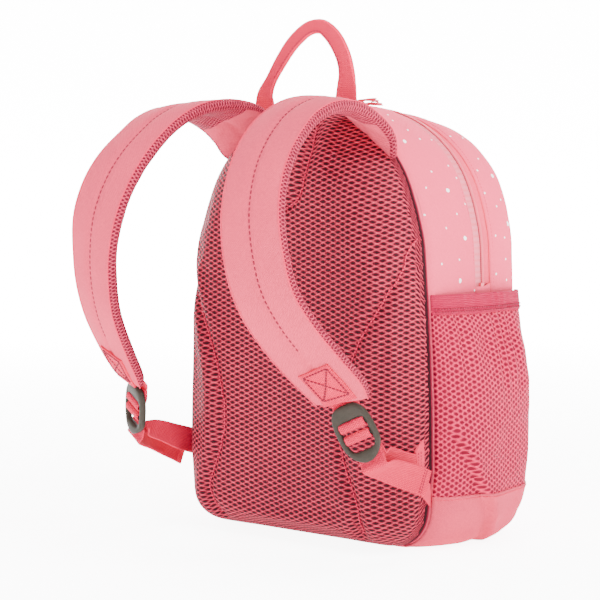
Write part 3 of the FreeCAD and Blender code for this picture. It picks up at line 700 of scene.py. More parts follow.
def arc_uv(P):
    nu, nv = P.shape[:2]
    du = np.linalg.norm(np.diff(P, axis=1), axis=-1)
    u = np.concatenate([np.zeros((nu, 1)), np.cumsum(du, 1)], 1)
    u = u - u[:, nv // 2][:, None]
    dv = np.linalg.norm(np.diff(P, axis=0), axis=-1)
    dv = np.repeat(dv[:, nv // 2][:, None], nv, 1) * 0.75 + 0.25 * dv
    v = np.concatenate([np.zeros((1, nv)), np.cumsum(dv, 0)], 0)
    v = v - v[nu // 3][None]
    return np.stack([u, v], -1)


# front panel, lightly domed
X, Z, d = cap_rows(YF, 1.2, 61)
h = 9.0 * np.sqrt(np.clip(1 - (1 - np.clip(d / 46, 0, 1)) ** 2, 0, 1))
wv = np.array([[vnoise(x, 0, z, 0.018) for x, z in zip(r1, r2)] for r1, r2 in zip(X, Z)])
P = np.stack([X, YF - h + 0.9 * wv * np.clip(d / 20, 0, 1) + 0.6, Z], -1)
fp = grid("v_front_panel", P, arc_uv(P), mats=(M_PRINT, M_LINING), flip=True)
solid(fp, 1.8, -1.0, 1)
flap(fp, ["front_panel_upper", "front_panel_lower"])

# back panel: deeply padded, quilted
NX = 91
X, Z, d = cap_rows(YB, 1.0, NX)
DD = np.interp(Z, [0, 30, 90, 210, 290, 330], [34, 40, 43, 43, 62, 78])
q_ = np.clip(d / DD, 0, 1)
H = 44.0 * np.sqrt(np.clip(1 - (1 - q_) ** 2.1, 0, 1))
BP = np.stack([X, YB + H - 0.8, Z], -1)
NRM = norm(np.cross(np.gradient(BP, axis=0), np.gradient(BP, axis=1)))
NRM[NRM[..., 1] < 0] *= -1
edge_n = np.isnan(NRM)
NRM[edge_n] = 0

L1 = [(-20, 88, 314), (-25, 100, 295), (-23, 108, 272), (-18, 110, 258), (-9, 110, 251)]
L2 = [(-106, 72, 230), (-104, 83, 219), (-103, 86, 207), (-97, 95, 192), (-91, 101, 179), (-71, 110, 146), (-60, 110, 112), (-57, 110, 87), (-62, 110, 63), (-74, 109, 31), (-69, 94, 8)]
L1 = L1 + [(0, 110, 249)] + [(-x, y, z) for x, y, z in L1[::-1]]
LINES = [L1, L2, [(-x, y, z) for x, y, z in L2]]
FL = BP.reshape(-1, 3)
DL = np.full(len(FL), 1e9)
SN = []
for L in LINES:
    c = spline(L, 160)
    idx = [int(np.argmin(((FL - p) ** 2).sum(1))) for p in c]
    s_ = FL[idx]
    k = np.ones(9) / 9
    s_ = np.stack([np.convolve(np.pad(s_[:, j], 4, mode="edge"), k, "valid") for j in range(3)], 1)
    s_ = resample(s_, step=1.5)
    SN.append(s_)
    for a_ in range(0, len(FL), 3000):
        DL[a_:a_ + 3000] = np.minimum(DL[a_:a_ + 3000], np.sqrt(((FL[a_:a_ + 3000, None] - s_[None]) ** 2).sum(-1).min(1)))
DL = DL.reshape(X.shape)
GD = 5.2 * np.exp(-(DL / 4.6) ** 2) - 1.0 * np.exp(-((DL - 13) / 7.0) ** 2)
fade = np.clip(d / 10.0, 0, 1)
BP2 = BP - NRM * (GD * fade)[..., None]
uvb = arc_uv(BP)
bp = grid("v_back_panel", BP2, uvb, mats=(M_AIR,), flip=True)


# ------------------------------------------------------------ cloth relax ---
def relax(ob, free, pressure, frames=16, cap=2.5, stiff=12.0, mass=0.25, quality=5):
    """Fills a sewn skin with pressure; free (0..1 per vertex) says how loose each vertex is."""
    n = len(ob.data.vertices)
    co0 = np.empty(n * 3)
    ob.data.vertices.foreach_get("co", co0)
    vg = ob.vertex_groups.new(name="pin")
    fr = np.asarray(free).ravel()
    w = np.round((1 - fr) * 20) / 20
    for lv in np.unique(w):
        vg.add(np.where(w == lv)[0].tolist(), float(lv), "REPLACE")
    md = ob.modifiers.new("cloth", "CLOTH")
    s = md.settings
    s.quality = quality
    s.mass = mass
    s.tension_stiffness = s.compression_stiffness = stiff
    s.shear_stiffness = stiff * 0.5
    s.bending_stiffness = 0.6
    s.air_damping = 2.0
    s.vertex_group_mass = "pin"
    s.pin_stiffness = 1.0
    s.use_pressure = True
    s.uniform_pressure_force = pressure
    s.effector_weights.gravity = 0.0
    md.point_cache.frame_start = 1
    md.point_cache.frame_end = frames
    sc = bpy.context.scene
    sc.frame_start, sc.frame_end = 1, frames
    for f_ in range(1, frames + 1):
        sc.frame_set(f_)
    dg = bpy.context.evaluated_depsgraph_get()
    ev = ob.evaluated_get(dg)
    co1 = np.empty(n * 3)
    ev.data.vertices.foreach_get("co", co1)
    ob.modifiers.remove(md)
    ob.vertex_groups.clear()
    sc.frame_set(1)
    dlt = (co1 - co0).reshape(-1, 3)
    dlt[~np.isfinite(dlt).all(1)] = 0
    ln = np.linalg.norm(dlt, axis=1)
    c = cap * 0.001
    k = np.where(ln > 1e-9, c * np.tanh(ln / c) / np.maximum(ln, 1e-9), 0)
    co = co0.reshape(-1, 3) + dlt * (k * fr)[:, None]
    ob.data.vertices.foreach_set("co", co.ravel())
    ob.data.update()


free = np.clip((DL - 1.0) / 4.0, 0, 1) * np.clip(d / 5.0, 0, 1)
relax(bp, free, 5.0, 16, 3.0)
# closed behind with a flat plate, so that it is one filled cushion
n0 = len(bp.data.vertices)
co = np.empty(n0 * 3)
bp.data.vertices.foreach_get("co", co)
BF = co.reshape(-1, 3) * 1000.0
BF = BF.reshape(BP.shape)
back = BP.copy()
back[..., 1] = YB - 1.6
bk2 = grid("v_back_inner", back, uvb, mats=(M_AIR,), flip=False)
rim_pts = np.r_[BF[:, 0], BF[-1, 1:], BF[::-1, -1][1:], BF[0, ::-1][1:-1]]
rim_in = rim_pts.copy()
rim_in[:, 1] = YB - 1.6
rm = grid("v_back_rim", np.stack([rim_pts, rim_in], 1), None, wrap=True, mats=(M_AIR,), flip=False)
rm.data.uv_layers.new(name="UVMap")
bp = join("v_back_panel", [bp, bk2, rm])
weld(bp, 0.02)
smooth_sub(bp, 1)
rides(bp, "bag", ["back_mesh_panel", "back_foam_pad"])
bl = bpy.data.objects["back_lining"]
bl.data.materials.clear()
bl.data.materials.append(M_LINING)

BFf = BF.reshape(-1, 3)
thr = []
for i, s_ in enumerate(SN):
    idx = [int(np.argmin(((FL - p) ** 2).sum(1))) for p in s_]
    p = BFf[idx]
    k = np.ones(5) / 5
    p = np.stack([np.convolve(np.pad(p[:, j], 2, mode="edge"), k, "valid") for j in range(3)], 1)
    nn = NRM.reshape(-1, 3)[idx]
    q2 = p + nn * 0.55
    thr.append(tube("v_quilt_%d" % i, resample(q2, step=2.0), 0.62, M_THREAD, 6))
    thr.append(stitches("v_quiltst_%d" % i, q2 + nn * 0.3, nn, M_THREAD3, 2.6, 2.0, 0.5, 0.0))
th = join("v_quilt_thread", thr)
rides(th, "bag")

# seam thread where the back panel meets the gusset
q, nn = ring(YB + 0.1, 1.3)
bnd = tube("v_back_seam", resample(np.vstack([q, q[:1]]), step=4.0)[:-1], 0.7, M_THREAD, 8, closed=True)
rides(bnd, "bag")

# ---------------------------------------------------------------- straps ----
STN = [((38, 62.0, 312), (73, 62.0, 283), .45), ((40, 72.5, 322), (84.5, 72.5, 291), .6), ((39, 81, 327.5), (89, 80, 303), .7), ((38.5, 96, 331), (90, 95, 315), .85),
       ((38, 120, 332), (90, 119, 325), 1), ((38, 146, 328), (89.5, 144, 326), 1), ((38.5, 168, 319), (89.5, 167, 318.5), 1),
       ((39.5, 186, 307), (91, 184, 306.5), 1), ((42, 203, 290), (94.3, 202, 290), 1), ((45.5, 216, 270), (97.5, 215, 270), 1),
       ((49.5, 225.5, 246), (100.8, 221.5, 246), 1), ((54, 228.5, 220), (103.6, 219.7, 220), 1), ((58.5, 225, 194), (107, 213.5, 195), 1),
       ((64.5, 215, 170), (114, 199, 171), 1), ((72, 196.5, 145), (121, 180, 149), .95), ((80, 178, 125), (125.5, 163, 131), .9),
       ((86, 167, 114), (123, 154.5, 121), .75)]
NS = 120
E1 = spline([s[0] for s in STN], 400)
E2 = spline([s[1] for s in STN], 400)
kk = np.linspace(0, len(STN) - 1, NS)


def catmull(Pts, t):
    Pts = np.asarray(Pts, float)
    Q = np.vstack([2 * Pts[0] - Pts[1], Pts, 2 * Pts[-1] - Pts[-2]])
    out = []
    for v in t:
        i = min(int(v), len(Pts) - 2)
        f_ = v - i
        p0, p1, p2, p3 = Q[i], Q[i + 1], Q[i + 2], Q[i + 3]
        out.append(0.5 * ((2 * p1) + (-p0 + p2) * f_ + (2 * p0 - 5 * p1 + 4 * p2 - p3) * f_ ** 2 + (-p0 + 3 * p1 - 3 * p2 + p3) * f_ ** 3))
    return A(out)


SE1 = catmull([s[0] for s in STN], kk)
SE2 = catmull([s[1] for s in STN], kk)
STH = np.interp(kk, np.arange(len(STN)), [s[2] for s in STN]) * 8.6
SC = (SE1 + SE2) / 2
SEe = norm(SE2 - SE1)
SW = np.linalg.norm(SE2 - SE1, axis=1)
ST = norm(np.gradient(SC, axis=0))
SNn = norm(np.cross(ST, SEe))
if SNn[0][2] < 0:
    SNn[0] *= -1
for i in range(1, NS):
    if SNn[i].dot(SNn[i - 1]) < 0:
        SNn[i] *= -1
SL = np.r_[0, np.cumsum(np.linalg.norm(np.diff(SC, axis=0), axis=1))]

N_OUT, N_ARC = 17, 7


def strap_section(W, th, k):
    r = th / 2
    hw = W / 2 - r * 0.75
    pts = []
    s = np.linspace(-1, 1, N_OUT)
    for v in s:                                   # outer face: crowned, with the stitched channel
        cr = 1.5 * (1 - abs(v) ** 2.4) - 1.9 * math.exp(-((v * hw) / 2.3) ** 2)
        pts.append((v * hw, cr * k))
    for a_ in np.linspace(90, -90, N_ARC + 2)[1:-1]:
        a_ = math.radians(a_)
        pts.append((hw + r * math.cos(a_) * 0.95, -r + r * math.sin(a_)))
    for v in s[::-1]:
        cr = 1.2 * (1 - abs(v) ** 2.4) - 1.4 * math.exp(-((v * hw) / 2.3) ** 2)
        pts.append((v * hw, -th - cr * k))
    for a_ in np.linspace(-90, -270, N_ARC + 2)[1:-1]:
        a_ = math.radians(a_)
        pts.append((-hw + r * math.cos(a_) * 0.95, -r + r * math.sin(a_)))
    return A(pts)


sec = []
for i in range(NS):
    e_ = min(1.0, SL[i] / 24.0 + 0.15, (SL[-1] - SL[i]) / 10.0 + 0.35)
    sc2 = strap_section(SW[i], STH[i] * min(1, 0.55 + 0.45 * min(1, (SL[-1] - SL[i]) / 6.0)), e_)
    sec.append(SC[i] + sc2[:, :1] * SEe[i] + sc2[:, 1:] * SNn[i])
SP = A(sec)                                        # NS x nsec x 3
nsec = SP.shape[1]
su = np.r_[0, np.cumsum(np.linalg.norm(np.diff(strap_section(50, 8.6, 1.0), axis=0), axis=1))]
su = np.r_[su, su[-1] + 1.5]


def strap_mat(i, j):
    # i runs round the section, j along the strap
    if SL[j] < 44 and N_OUT + N_ARC <= i < nsec - 7:
        return 0
    return 0 if i < N_OUT or i >= nsec - 1 else 1


SPt = SP.transpose(1, 0, 2)
SUV = np.stack(np.meshgrid(su, SL, indexing="ij"), -1)
strap = grid("v_strap_right", SPt, SUV, wrap=True, mats=(M_TWILL, M_STRAPMESH), fmat=strap_mat, flip=False)
# caps at both ends
import bmesh
bm = bmesh.new()
bm.from_mesh(strap.data)
bm.verts.ensure_lookup_table()
for col in (0, NS - 1):
    vs = [bm.verts[i * NS + col] for i in range(nsec)]
    f_ = bm.faces.new(vs if col else vs[::-1])
    f_.smooth = False
bmesh.ops.recalc_face_normals(bm, faces=bm.faces)
bm.to_mesh(strap.data)
bm.free()
ii = np.arange(nsec)
vv = np.where(ii < N_OUT, np.linspace(-1, 1, N_OUT)[np.minimum(ii, N_OUT - 1)], 9.0)
lo_ = (ii >= N_OUT + N_ARC) & (ii < 2 * N_OUT + N_ARC)
vv = np.where(lo_, np.linspace(1, -1, N_OUT)[np.clip(ii - N_OUT - N_ARC, 0, N_OUT - 1)], vv)
fr = np.ones((nsec, NS))
fr[np.abs(vv) < 0.14] = 0.0
fr[(np.abs(vv) >= 0.14) & (np.abs(vv) < 0.3)] = 0.6
fr[[N_OUT, N_OUT + 1, nsec - 2, nsec - 1]] = 0.35
fr *= np.clip(SL / 18.0, 0, 1)[None] * np.clip((SL[-1] - 36 - SL) / 14.0, 0, 1)[None]
relax(strap, fr, 7.0, 18, 1.9, stiff=10.0)
co = np.empty(len(strap.data.vertices) * 3)
strap.data.vertices.foreach_get("co", co)
SR = co.reshape(-1, 3).reshape(nsec, NS, 3) * 1000.0
smooth_sub(strap, 1)


def mirror(ob, name):
    o = ob.copy()
    o.data = ob.data.copy()
    o.name = name
    o.data.name = name
    link(o)
    c = np.empty(len(o.data.vertices) * 3)
    o.data.vertices.foreach_get("co", c)
    c = c.reshape(-1, 3)
    c[:, 0] *= -1
    o.data.vertices.foreach_set("co", c.ravel())
    o.data.flip_normals()
    o.data.update()
    return o


def both(ob, body, reps=()):
    """The right piece as given and its mirror image on the left."""
    base = ob.name.replace("_right", "")
    l = mirror(ob, base + "_left")
    ob.name = base + "_right"
    for o, sd in ((ob, "right"), (l, "left")):
        rides(o, body % sd if "%s" in body else body, [r % sd for r in reps])
    return ob, l


both(strap, "shoulder_strap_%s", ["strap_cover_%s", "strap_foam_%s", "strap_mesh_%s"])

mid = N_OUT // 2
cs = SR[mid]
k0, k1 = int(np.argmin(abs(SL - 6))), int(np.argmin(abs(SL - (SL[-1] - 44))))
st1 = stitches("v_strap_stitch", resample(cs[k0:k1], step=1.5), resample(np.hstack([cs, SNn])[k0:k1], step=1.5)[:, 3:], M_THREAD2, 4.0, 2.8, 0.62, -0.55)
ed = []
for j in (N_OUT, nsec - 1):
    pth = SR[j][k0:]
    ed.append(tube("v_e%d" % j, resample(pth, step=2.5), 0.55, M_THREAD3, 6))
st1 = join("v_strap_thread_right", [st1] + ed)
both(st1, "shoulder_strap_%s")


# --------------------------------------------------------------- ribbons ----
def ribbon(name, C, Wd, Wn, T_, mat, nrm=None, step=1.5, sag=0.0, n=11, cap=True, thin_ends=False):
    """Flat strap: centres C, width directions Wd, widths Wn, thickness T_."""
    C = np.asarray(C, float)
    Wd = norm(np.asarray(Wd, float))
    Wn = np.full(len(C), float(Wn)) if np.isscalar(Wn) else np.asarray(Wn, float)
    T_ = np.full(len(C), float(T_)) if np.isscalar(T_) else np.asarray(T_, float)
    t0 = np.linspace(0, len(C) - 1, max(4, len(C) * 10))
    M = catmull(np.hstack([C, Wd, Wn[:, None], T_[:, None]]), t0)
    M = resample_keep(M, step)
    C, Wd, Wn, T_ = M[:, :3], norm(M[:, 3:6]), M[:, 6], M[:, 7]
    tg = norm(np.gradient(C, axis=0))
    Wd = norm(Wd - tg * (Wd * tg).sum(1)[:, None])
    Nn = norm(np.cross(tg, Wd))
    s = np.r_[0, np.cumsum(np.linalg.norm(np.diff(C, axis=0), axis=1))]
    rows, us = [], None
    for i in range(len(C)):
        w_, h_ = Wn[i] / 2, T_[i] / 2
        r = min(h_, w_)
        pts = []
        for v in np.linspace(-1, 1, n):
            pts.append((v * (w_ - r * 0.7), h_ * (1 + 0.0)))
        pts += [(w_ - r * 0.15, h_ * 0.72), (w_, 0), (w_ - r * 0.15, -h_ * 0.72)]
        for v in np.linspace(1, -1, n):
            pts.append((v * (w_ - r * 0.7), -h_))
        pts += [(-w_ + r * 0.15, -h_ * 0.72), (-w_, 0), (-w_ + r * 0.15, h_ * 0.72)]
        pts = A(pts)
        if us is None:
            us = pts[:, 0]
        rows.append(C[i] + pts[:, :1] * Wd[i] + pts[:, 1:] * Nn[i])
    P_ = A(rows).transpose(1, 0, 2)
    uu = np.r_[us, us[0]]
    UV_ = np.stack(np.meshgrid(uu, s, indexing="ij"), -1)
    ob = grid(name, P_, UV_, wrap=True, mats=(mat,))
    if cap:
        bm = bmesh.new()
        bm.from_mesh(ob.data)
        bm.verts.ensure_lookup_table()
        m_ = len(C)
        ns = P_.shape[0]
        for col in (0, m_ - 1):
            vs = [bm.verts[i * m_ + col] for i in range(ns)]
            bm.faces.new(vs if col else vs[::-1]).smooth = False
        bmesh.ops.recalc_face_normals(bm, faces=bm.faces)
        bm.to_mesh(ob.data)
        bm.free()
    ob["_c"] = 0
    del ob["_c"]
    return ob, C, Wd, Nn, Wn, T_


def resample_keep(M, step):
    s = np.r_[0, np.cumsum(np.linalg.norm(np.diff(M[:, :3], axis=0), axis=1))]
    n = max(3, int(round(s[-1] / step)) + 1)
    q = np.linspace(0, s[-1], n)
    return np.stack([np.interp(q, s, M[:, k]) for k in range(M.shape[1])], 1)


# patch at the end of the strap, sewn with a box and a cross
def strap_at(sl):
    return [A([np.interp(sl, SL, a_[:, k]) for k in range(3)]) for a_ in (SC, SEe, SNn)]


pl = [SL[-1] - v for v in (35.0, 29, 22, 15, 8, 2.0)]
C_ = []
for v in pl:
    c, e, n2 = strap_at(v)
    i = int(np.argmin(abs(SL - v)))
    C_.append(c + n2 * (1.6 if v < pl[-2] else 1.2))
W_ = [strap_at(v)[1] for v in pl]
pt, pc, pw, pn, _, _ = ribbon("v_patch_right", C_, W_, 26.0, 1.8, M_WEB)
both(pt, "shoulder_strap_%s", ["strap_patch_%s"])
if pn[0].dot(strap_at(pl[0])[2]) < 0:
    pn = -pn
sp = np.r_[0, np.cumsum(np.linalg.norm(np.diff(pc, axis=0), axis=1))]


def on_patch(u, v):
    c = A([np.interp(v, sp, pc[:, k]) for k in range(3)])
    w_ = A([np.interp(v, sp, pw[:, k]) for k in range(3)])
    n2 = A([np.interp(v, sp, pn[:, k]) for k in range(3)])
    return c + w_ * u + n2 * 0.95, n2


a0, a1, b0 = 2.6, sp[-1] - 5.5, 10.6
segs = [((-b0, a0), (b0, a0)), ((b0, a0), (b0, a1)), ((b0, a1), (-b0, a1)), ((-b0, a1), (-b0, a0)), ((-b0, a0), (b0, a1)), ((b0, a0), (-b0, a1))]
ss = []
for i, (p0, p1) in enumerate(segs):
    Q = [on_patch(p0[0] + (p1[0] - p0[0]) * t, p0[1] + (p1[1] - p0[1]) * t) for t in np.linspace(0, 1, 16)]
    ss.append(stitches("v_ps%d" % i, A([q[0] for q in Q]), A([q[1] for q in Q]), M_THREAD2, 2.6, 2.0, 0.5, -0.3))
both(join("v_patch_stitch_right", ss), "shoulder_strap_%s")

# ---------------------------------------------------------------- buckle ----
BC = A([108.9, 150.0, 96.1])
RUN = norm(A([0.35, -0.28, -0.89]))
XD = A([0.854, -0.25, 0.457])
XD = norm(XD - RUN * XD.dot(RUN))
NV = np.cross(RUN, XD)
NV = NV if NV[1] > 0 else -NV


def lp(x, t, n2):
    """Point of the buckle: x across, t up the strap, n2 outward."""
    return BC + XD * x - RUN * t + NV * n2


def frame_plate():
    th = np.linspace(0, 2 * math.pi, 64, endpoint=False)
    outer, inner = [], []
    for a_ in th:
        c, s = math.cos(a_), math.sin(a_)
        k = 1.0 if s > 0 else 1.0
        x = 14.6 * np.sign(c) * abs(c) ** 0.62 * (1.0 if s > 0 else (1 - 0.42 * (-s) ** 3))
        t = 21.4 * np.sign(s) * abs(s) ** 0.80
        outer.append((x, t))
        xi = 10.6 * np.sign(c) * abs(c) ** 0.36 * (1.0 if s > 0 else (1 - 0.16 * (-s) ** 4))
        ti = (10.6 if s > 0 else 12.4) * np.sign(s) * abs(s) ** 0.42 - 0.6
        inner.append((xi, ti))
    outer, inner = A(outer), A(inner)
    rings = []
    for f_, z_ in ((0.0, -1.7), (0.0, 1.3), (0.16, 2.05), (0.38, 2.35), (0.66, 2.3), (0.88, 1.9), (1.0, 1.1), (1.0, -1.4), (0.85, -2.1), (0.4, -2.3), (0.12, -2.2)):
        p = outer + (inner - outer) * f_
        arch = 0.0030 * (14.6 ** 2 - p[:, 0] ** 2)
        lip = np.where(p[:, 1] < -12, (-12 - p[:, 1]) * 0.14, 0)
        rings.append([lp(x, t, z_ + ar + l_) for (x, t), ar, l_ in zip(p, arch, lip)])
    R_ = A(rings).transpose(1, 0, 2)
    R_ = np.concatenate([R_, R_[:, :1]], 1)
    ob = grid("v_lock_frame", R_, None, wrap=True, mats=(M_BUCKLE,))
    weld(ob, 0.01)
    return ob


lk = [frame_plate()]
for i, (t, r) in enumerate(((6.3, 1.5), (-2.7, 1.6))):
    lk.append(tube("v_bar%d" % i, A([lp(x, t, 0.1) for x in np.linspace(-11.5, 11.5, 7)]), r, M_BUCKLE, 12))
lock = join("v_lock_right", lk)
bm = bmesh.new()
bm.from_mesh(lock.data)
bmesh.ops.recalc_face_normals(bm, faces=bm.faces)
bm.to_mesh(lock.data)
bm.free()
both(lock, "buckle_%s", ["ladder_lock_%s"])

endc, ende, endn = strap_at(SL[-1] - 4)
# anchor: from inside the strap, under the top of the frame, round the upper bar and back
path = [endc - endn * 4.0, lp(-0.6, 27, -2.6), lp(0, 21.5, -4.0), lp(0, 14, -4.4), lp(0, 10, -3.6), lp(0, 6.6, -2.6), lp(0, 4.0, -1.7), lp(0, 3.3, 0.4), lp(0, 4.4, 2.6),
        lp(0, 6.6, 3.1), lp(0, 8.6, 2.2), lp(0, 9.3, 0.2), lp(0, 11.2, -1.9), lp(0, 15, -2.9), lp(0, 21, -2.9)]
wd = [ende, (ende + XD * 2) / 3] + [XD] * (len(path) - 2)
an, *_ = ribbon("v_anchor_right", path, wd, 20.0, 1.3, M_WEB, step=0.9)
both(an, "shoulder_strap_%s", ["anchor_webbing_%s"])

# tail: up from the middle bar's back, over its front, back under the lip and down
lpth = [lp(0, -4.6, -2.6), lp(0, -5.6, -0.4), lp(0, -5.0, 2.2), lp(0, -2.8, 3.1), lp(0, -0.6, 2.5), lp(0, 0.2, 0.4), lp(0, -0.8, -2.0), lp(0, -2.8, -2.9), lp(0, -4.4, -2.7)]
l2, *_ = ribbon("v_tail_loop_right", lpth, [XD] * len(lpth), 20.0, 1.3, M_WEB, step=0.9)
both(l2, "buckle_%s", ())
tl = [lp(0, -15.2, -3.2), lp(0, -19.0, -3.2), lp(0, -23.0, -2.4), lp(0.5, -28, -0.6),
      A([117.6, 127.5, 68.5]), A([118.4, 109, 62.5]), A([120.0, 95.5, 58.0]), A([121.8, 84.5, 53.4])]
wd = [XD] * 4 + [A([.62, -.28, .68]), A([.35, -.35, .85]), A([.1, -.35, .9]), A([0, -.45, .9])]
ta, tc, tw, tn, _, _ = ribbon("v_tail_right", tl, wd, 20.0, 1.6, M_WEB, step=1.0)
both(ta, "buckle_%s", ["webbing_tail_%s"])
tp = []
for k_, off in enumerate((5.5, 7.4)):
    s_ = np.r_[0, np.cumsum(np.linalg.norm(np.diff(tc, axis=0), axis=1))]
    i = int(np.argmin(abs(s_ - (s_[-1] - off))))
    for sg in (1, -1):
        pp = A([tc[i] + tw[i] * x + tn[i] * sg * 0.85 for x in np.linspace(-8.8, 8.8, 14)])
        tp.append(stitches("v_ts%d%d" % (k_, sg), pp, np.repeat((tn[i] * sg)[None], 14, 0), M_THREAD, 2.0, 1.5, 0.34))
hem, *_ = ribbon("v_hem", [tc[-9] + tn[-9] * 1.2, tc[-5] + tn[-5] * 1.3, tc[-1] + tn[-1] * 0.9], [tw[-9], tw[-5], tw[-1]], 20.0, 1.2, M_WEB, step=1.0)
both(join("v_tail_hem_right", tp + [hem]), "buckle_%s", ())

# lower webbing: from the middle bar, behind the frame, down to the wing
lw = [lp(0, -14.6, -7.2), lp(0, -18, -8.0), lp(0, -22, -8.4), A([110.5, 122, 75.5]), A([109.4, 103, 69.0]), A([110.2, 84, 63.5]), A([110.0, 76, 61.5])]
wd = [XD, XD, XD, A([.55, -.28, .75]), A([.25, -.35, .88]), A([0, -.35, .9]), A([0, -.35, .9])]
lo2, *_ = ribbon("v_lower_webbing_right", lw, wd, 20.0, 1.5, M_WEB, step=1.2)
lo2l = mirror(lo2, "v_lower_webbing_left")
for o, sd in ((lo2, "right"), (lo2l, "left")):
    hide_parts("lower_webbing_" + sd)
    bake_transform(o)

# wings sewn in the back seam
wg = []
for a_ in np.linspace(0, 1, 9):
    y = 62.5 + a_ * (84.0 - 62.5)
    z0 = 30.0 + a_ * 20.5
    z1 = 97.5 - a_ * 21.5
    sd_x = HWB + 0.6
    wg.append([(sd_x + 0.3 * a_ + 0.5 * math.sin(3 * b_), y, z0 + (z1 - z0) * b_) for b_ in np.linspace(0, 1, 19)])
wg = A(wg)
uvw = np.stack([wg[..., 1], wg[..., 2]], -1)
w1 = grid("v_wing_right", wg, uvw, mats=(M_UNDER,))
solid(w1, 2.4, 0.0)
w1.modifiers.new("bev", "BEVEL").width = 0.0006
both(w1, "bag", ["strap_wing_%s"])
pp = [A([HWB + 2.3, 81.5, z]) for z in np.linspace(52, 74, 18)]
q1 = stitches("v_ws1", A(pp), np.repeat(A([[1.0, 0, 0]]), 18, 0), M_THREAD, 2.3, 1.7, 0.35)
pp = [A([HWB + 2.3, 78.5, z]) for z in np.linspace(50, 76, 18)]
q2 = stitches("v_ws2", A(pp), np.repeat(A([[1.0, 0, 0]]), 18, 0), M_THREAD, 2.3, 1.7, 0.35)
both(join("v_wing_stitch_right", [q1, q2]), "bag")

# ---------------------------------------------------------- side pockets ----
PROF = [(0.5, 0.0), (3.0, .20), (16.0, .55), (38.0, .84), (70.0, .97), (105.0, 1.0), (140.0, .86), (160.0, .64), (174.0, .46), (187.0, .36)]
PY0, PY1 = -43.0, 66.0


def side_x(y, z):
    if y >= 0:
        f = y / YB
        a_ = HWB - 1.5 * f
        tp_ = np.interp(z, TZ_, TM_) * (1 - f) + np.interp(z, TZ_, TB_) * f
    else:
        f = min(1.0, y / YF)
        a_ = HWB - 2 * f
        tp_ = np.interp(z, TZ_, TM_) * (1 - f) + np.interp(z, TZ_, TF_) * f
    if z < 28:
        a_ = a_ - 28 + math.sqrt(max(0.0, 28 ** 2 - (28 - z) ** 2))
    return a_ + tp_


pz = A([p[0] for p in PROF])
pf = A([p[1] for p in PROF])


def prof(z):
    i = np.clip(np.searchsorted(pz, z) - 1, 0, len(pz) - 2)
    h0 = pz[i + 1] - pz[i]
    t = (z - pz[i]) / h0
    m = np.gradient(pf, pz)
    return ((2 * t ** 3 - 3 * t ** 2 + 1) * pf[i] + (t ** 3 - 2 * t ** 2 + t) * h0 * m[i] + (-2 * t ** 3 + 3 * t ** 2) * pf[i + 1] + (t ** 3 - t ** 2) * h0 * m[i + 1])


PLEAT = A([(68, 122), (57, 84), (49.6, 70), (41.5, 55.5), (36, 46), (25, 34), (17, 20), (10, 0)], float)
PLEAT = resample(PLEAT, step=1.5)
PTG = norm(np.gradient(PLEAT, axis=0))


def pleat(y, z):
    """Fold of the spare mesh: the front part laps over the rear part."""
    dd = PLEAT - A([y, z])
    i = int(np.argmin((dd ** 2).sum(1)))
    v = -dd[i]
    sd = v[0] * PTG[i][1] - v[1] * PTG[i][0]      # positive towards the front
    dist = math.hypot(v[0], v[1]) * (1 if sd > 0 else -1)
    k = min(1.0, max(0.0, (118 - z) / 34.0)) ** 1.2
    e = 1 / (1 + math.exp(-max(-40, min(40, (dist - 0.3) / 0.8))))
    fr_ = 6.4 * math.exp(-max(dist, 0) / 15.0)
    bk_ = -3.6 * math.exp(min(dist, 0) / 9.0)
    return k * (fr_ * e + bk_ * (1 - e))


def pocket_pt(t, z, lift=0.0, seed=0.0):
    y = PY0 + (PY1 - PY0) * t
    s = max(0.0, 1 - abs(2 * t - 1) ** (5.5 if t < 0.5 else 2.6)) ** (0.5 if t < 0.5 else 0.75)
    xx = side_x(max(y, YF), z) + 0.9
    tgt = HWB + 0.15 + 27 * prof(z)
    g = max(1.0, tgt - side_x(0, z))
    off = s * g
    gt_ = max(0.0, (z - 96) / 80.0)
    w_ = s * gt_ * 2.3 * math.sin(y * 0.42 + 2.2 * math.sin(y * 0.11)) * math.sin(min(math.pi, gt_ * 3.0)) + s * 1.8 * (vnoise(y, z, seed, 0.03) + 0.5 * vnoise(y, z, seed + 9, 0.07))
    return A([xx + off + w_ + lift + pleat(y, z) * min(1.0, s * 1.6), y, z + float(base_lift(y * 1.0, z)) * 0.9])


def pocket_grid(z0, z1, nz, lift, mats, name, seed=1.0, gather=0.0, nt=104, uvs=1.0):
    T = np.linspace(0, 1, nt)
    Zs = np.linspace(z0, z1, nz)
    P_ = A([[pocket_pt(t, z, lift * min(1.0, 14 * min(t, 1 - t) + 0.25), seed) for z in Zs] for t in T])
    if gather:
        for i, t in enumerate(T):
            for j, z in enumerate(Zs):
                P_[i, j, 0] += gather * math.sin(t * 2 * math.pi * 11 + 1.3 * math.sin(t * 17)) * math.sin(math.pi * t) * (0.35 + 0.65 * (z - z0) / (z1 - z0))
    du = np.r_[0, np.cumsum(np.linalg.norm(np.diff(P_[:, nz // 2], axis=0), axis=1))]
    dv = np.r_[0, np.cumsum(np.linalg.norm(np.diff(P_[nt // 2], axis=0), axis=1))]
    UV_ = np.stack(np.meshgrid(du * uvs, dv, indexing="ij"), -1)
    ob = grid(name, P_, UV_, mats=mats, flip=False)
    return ob, P_


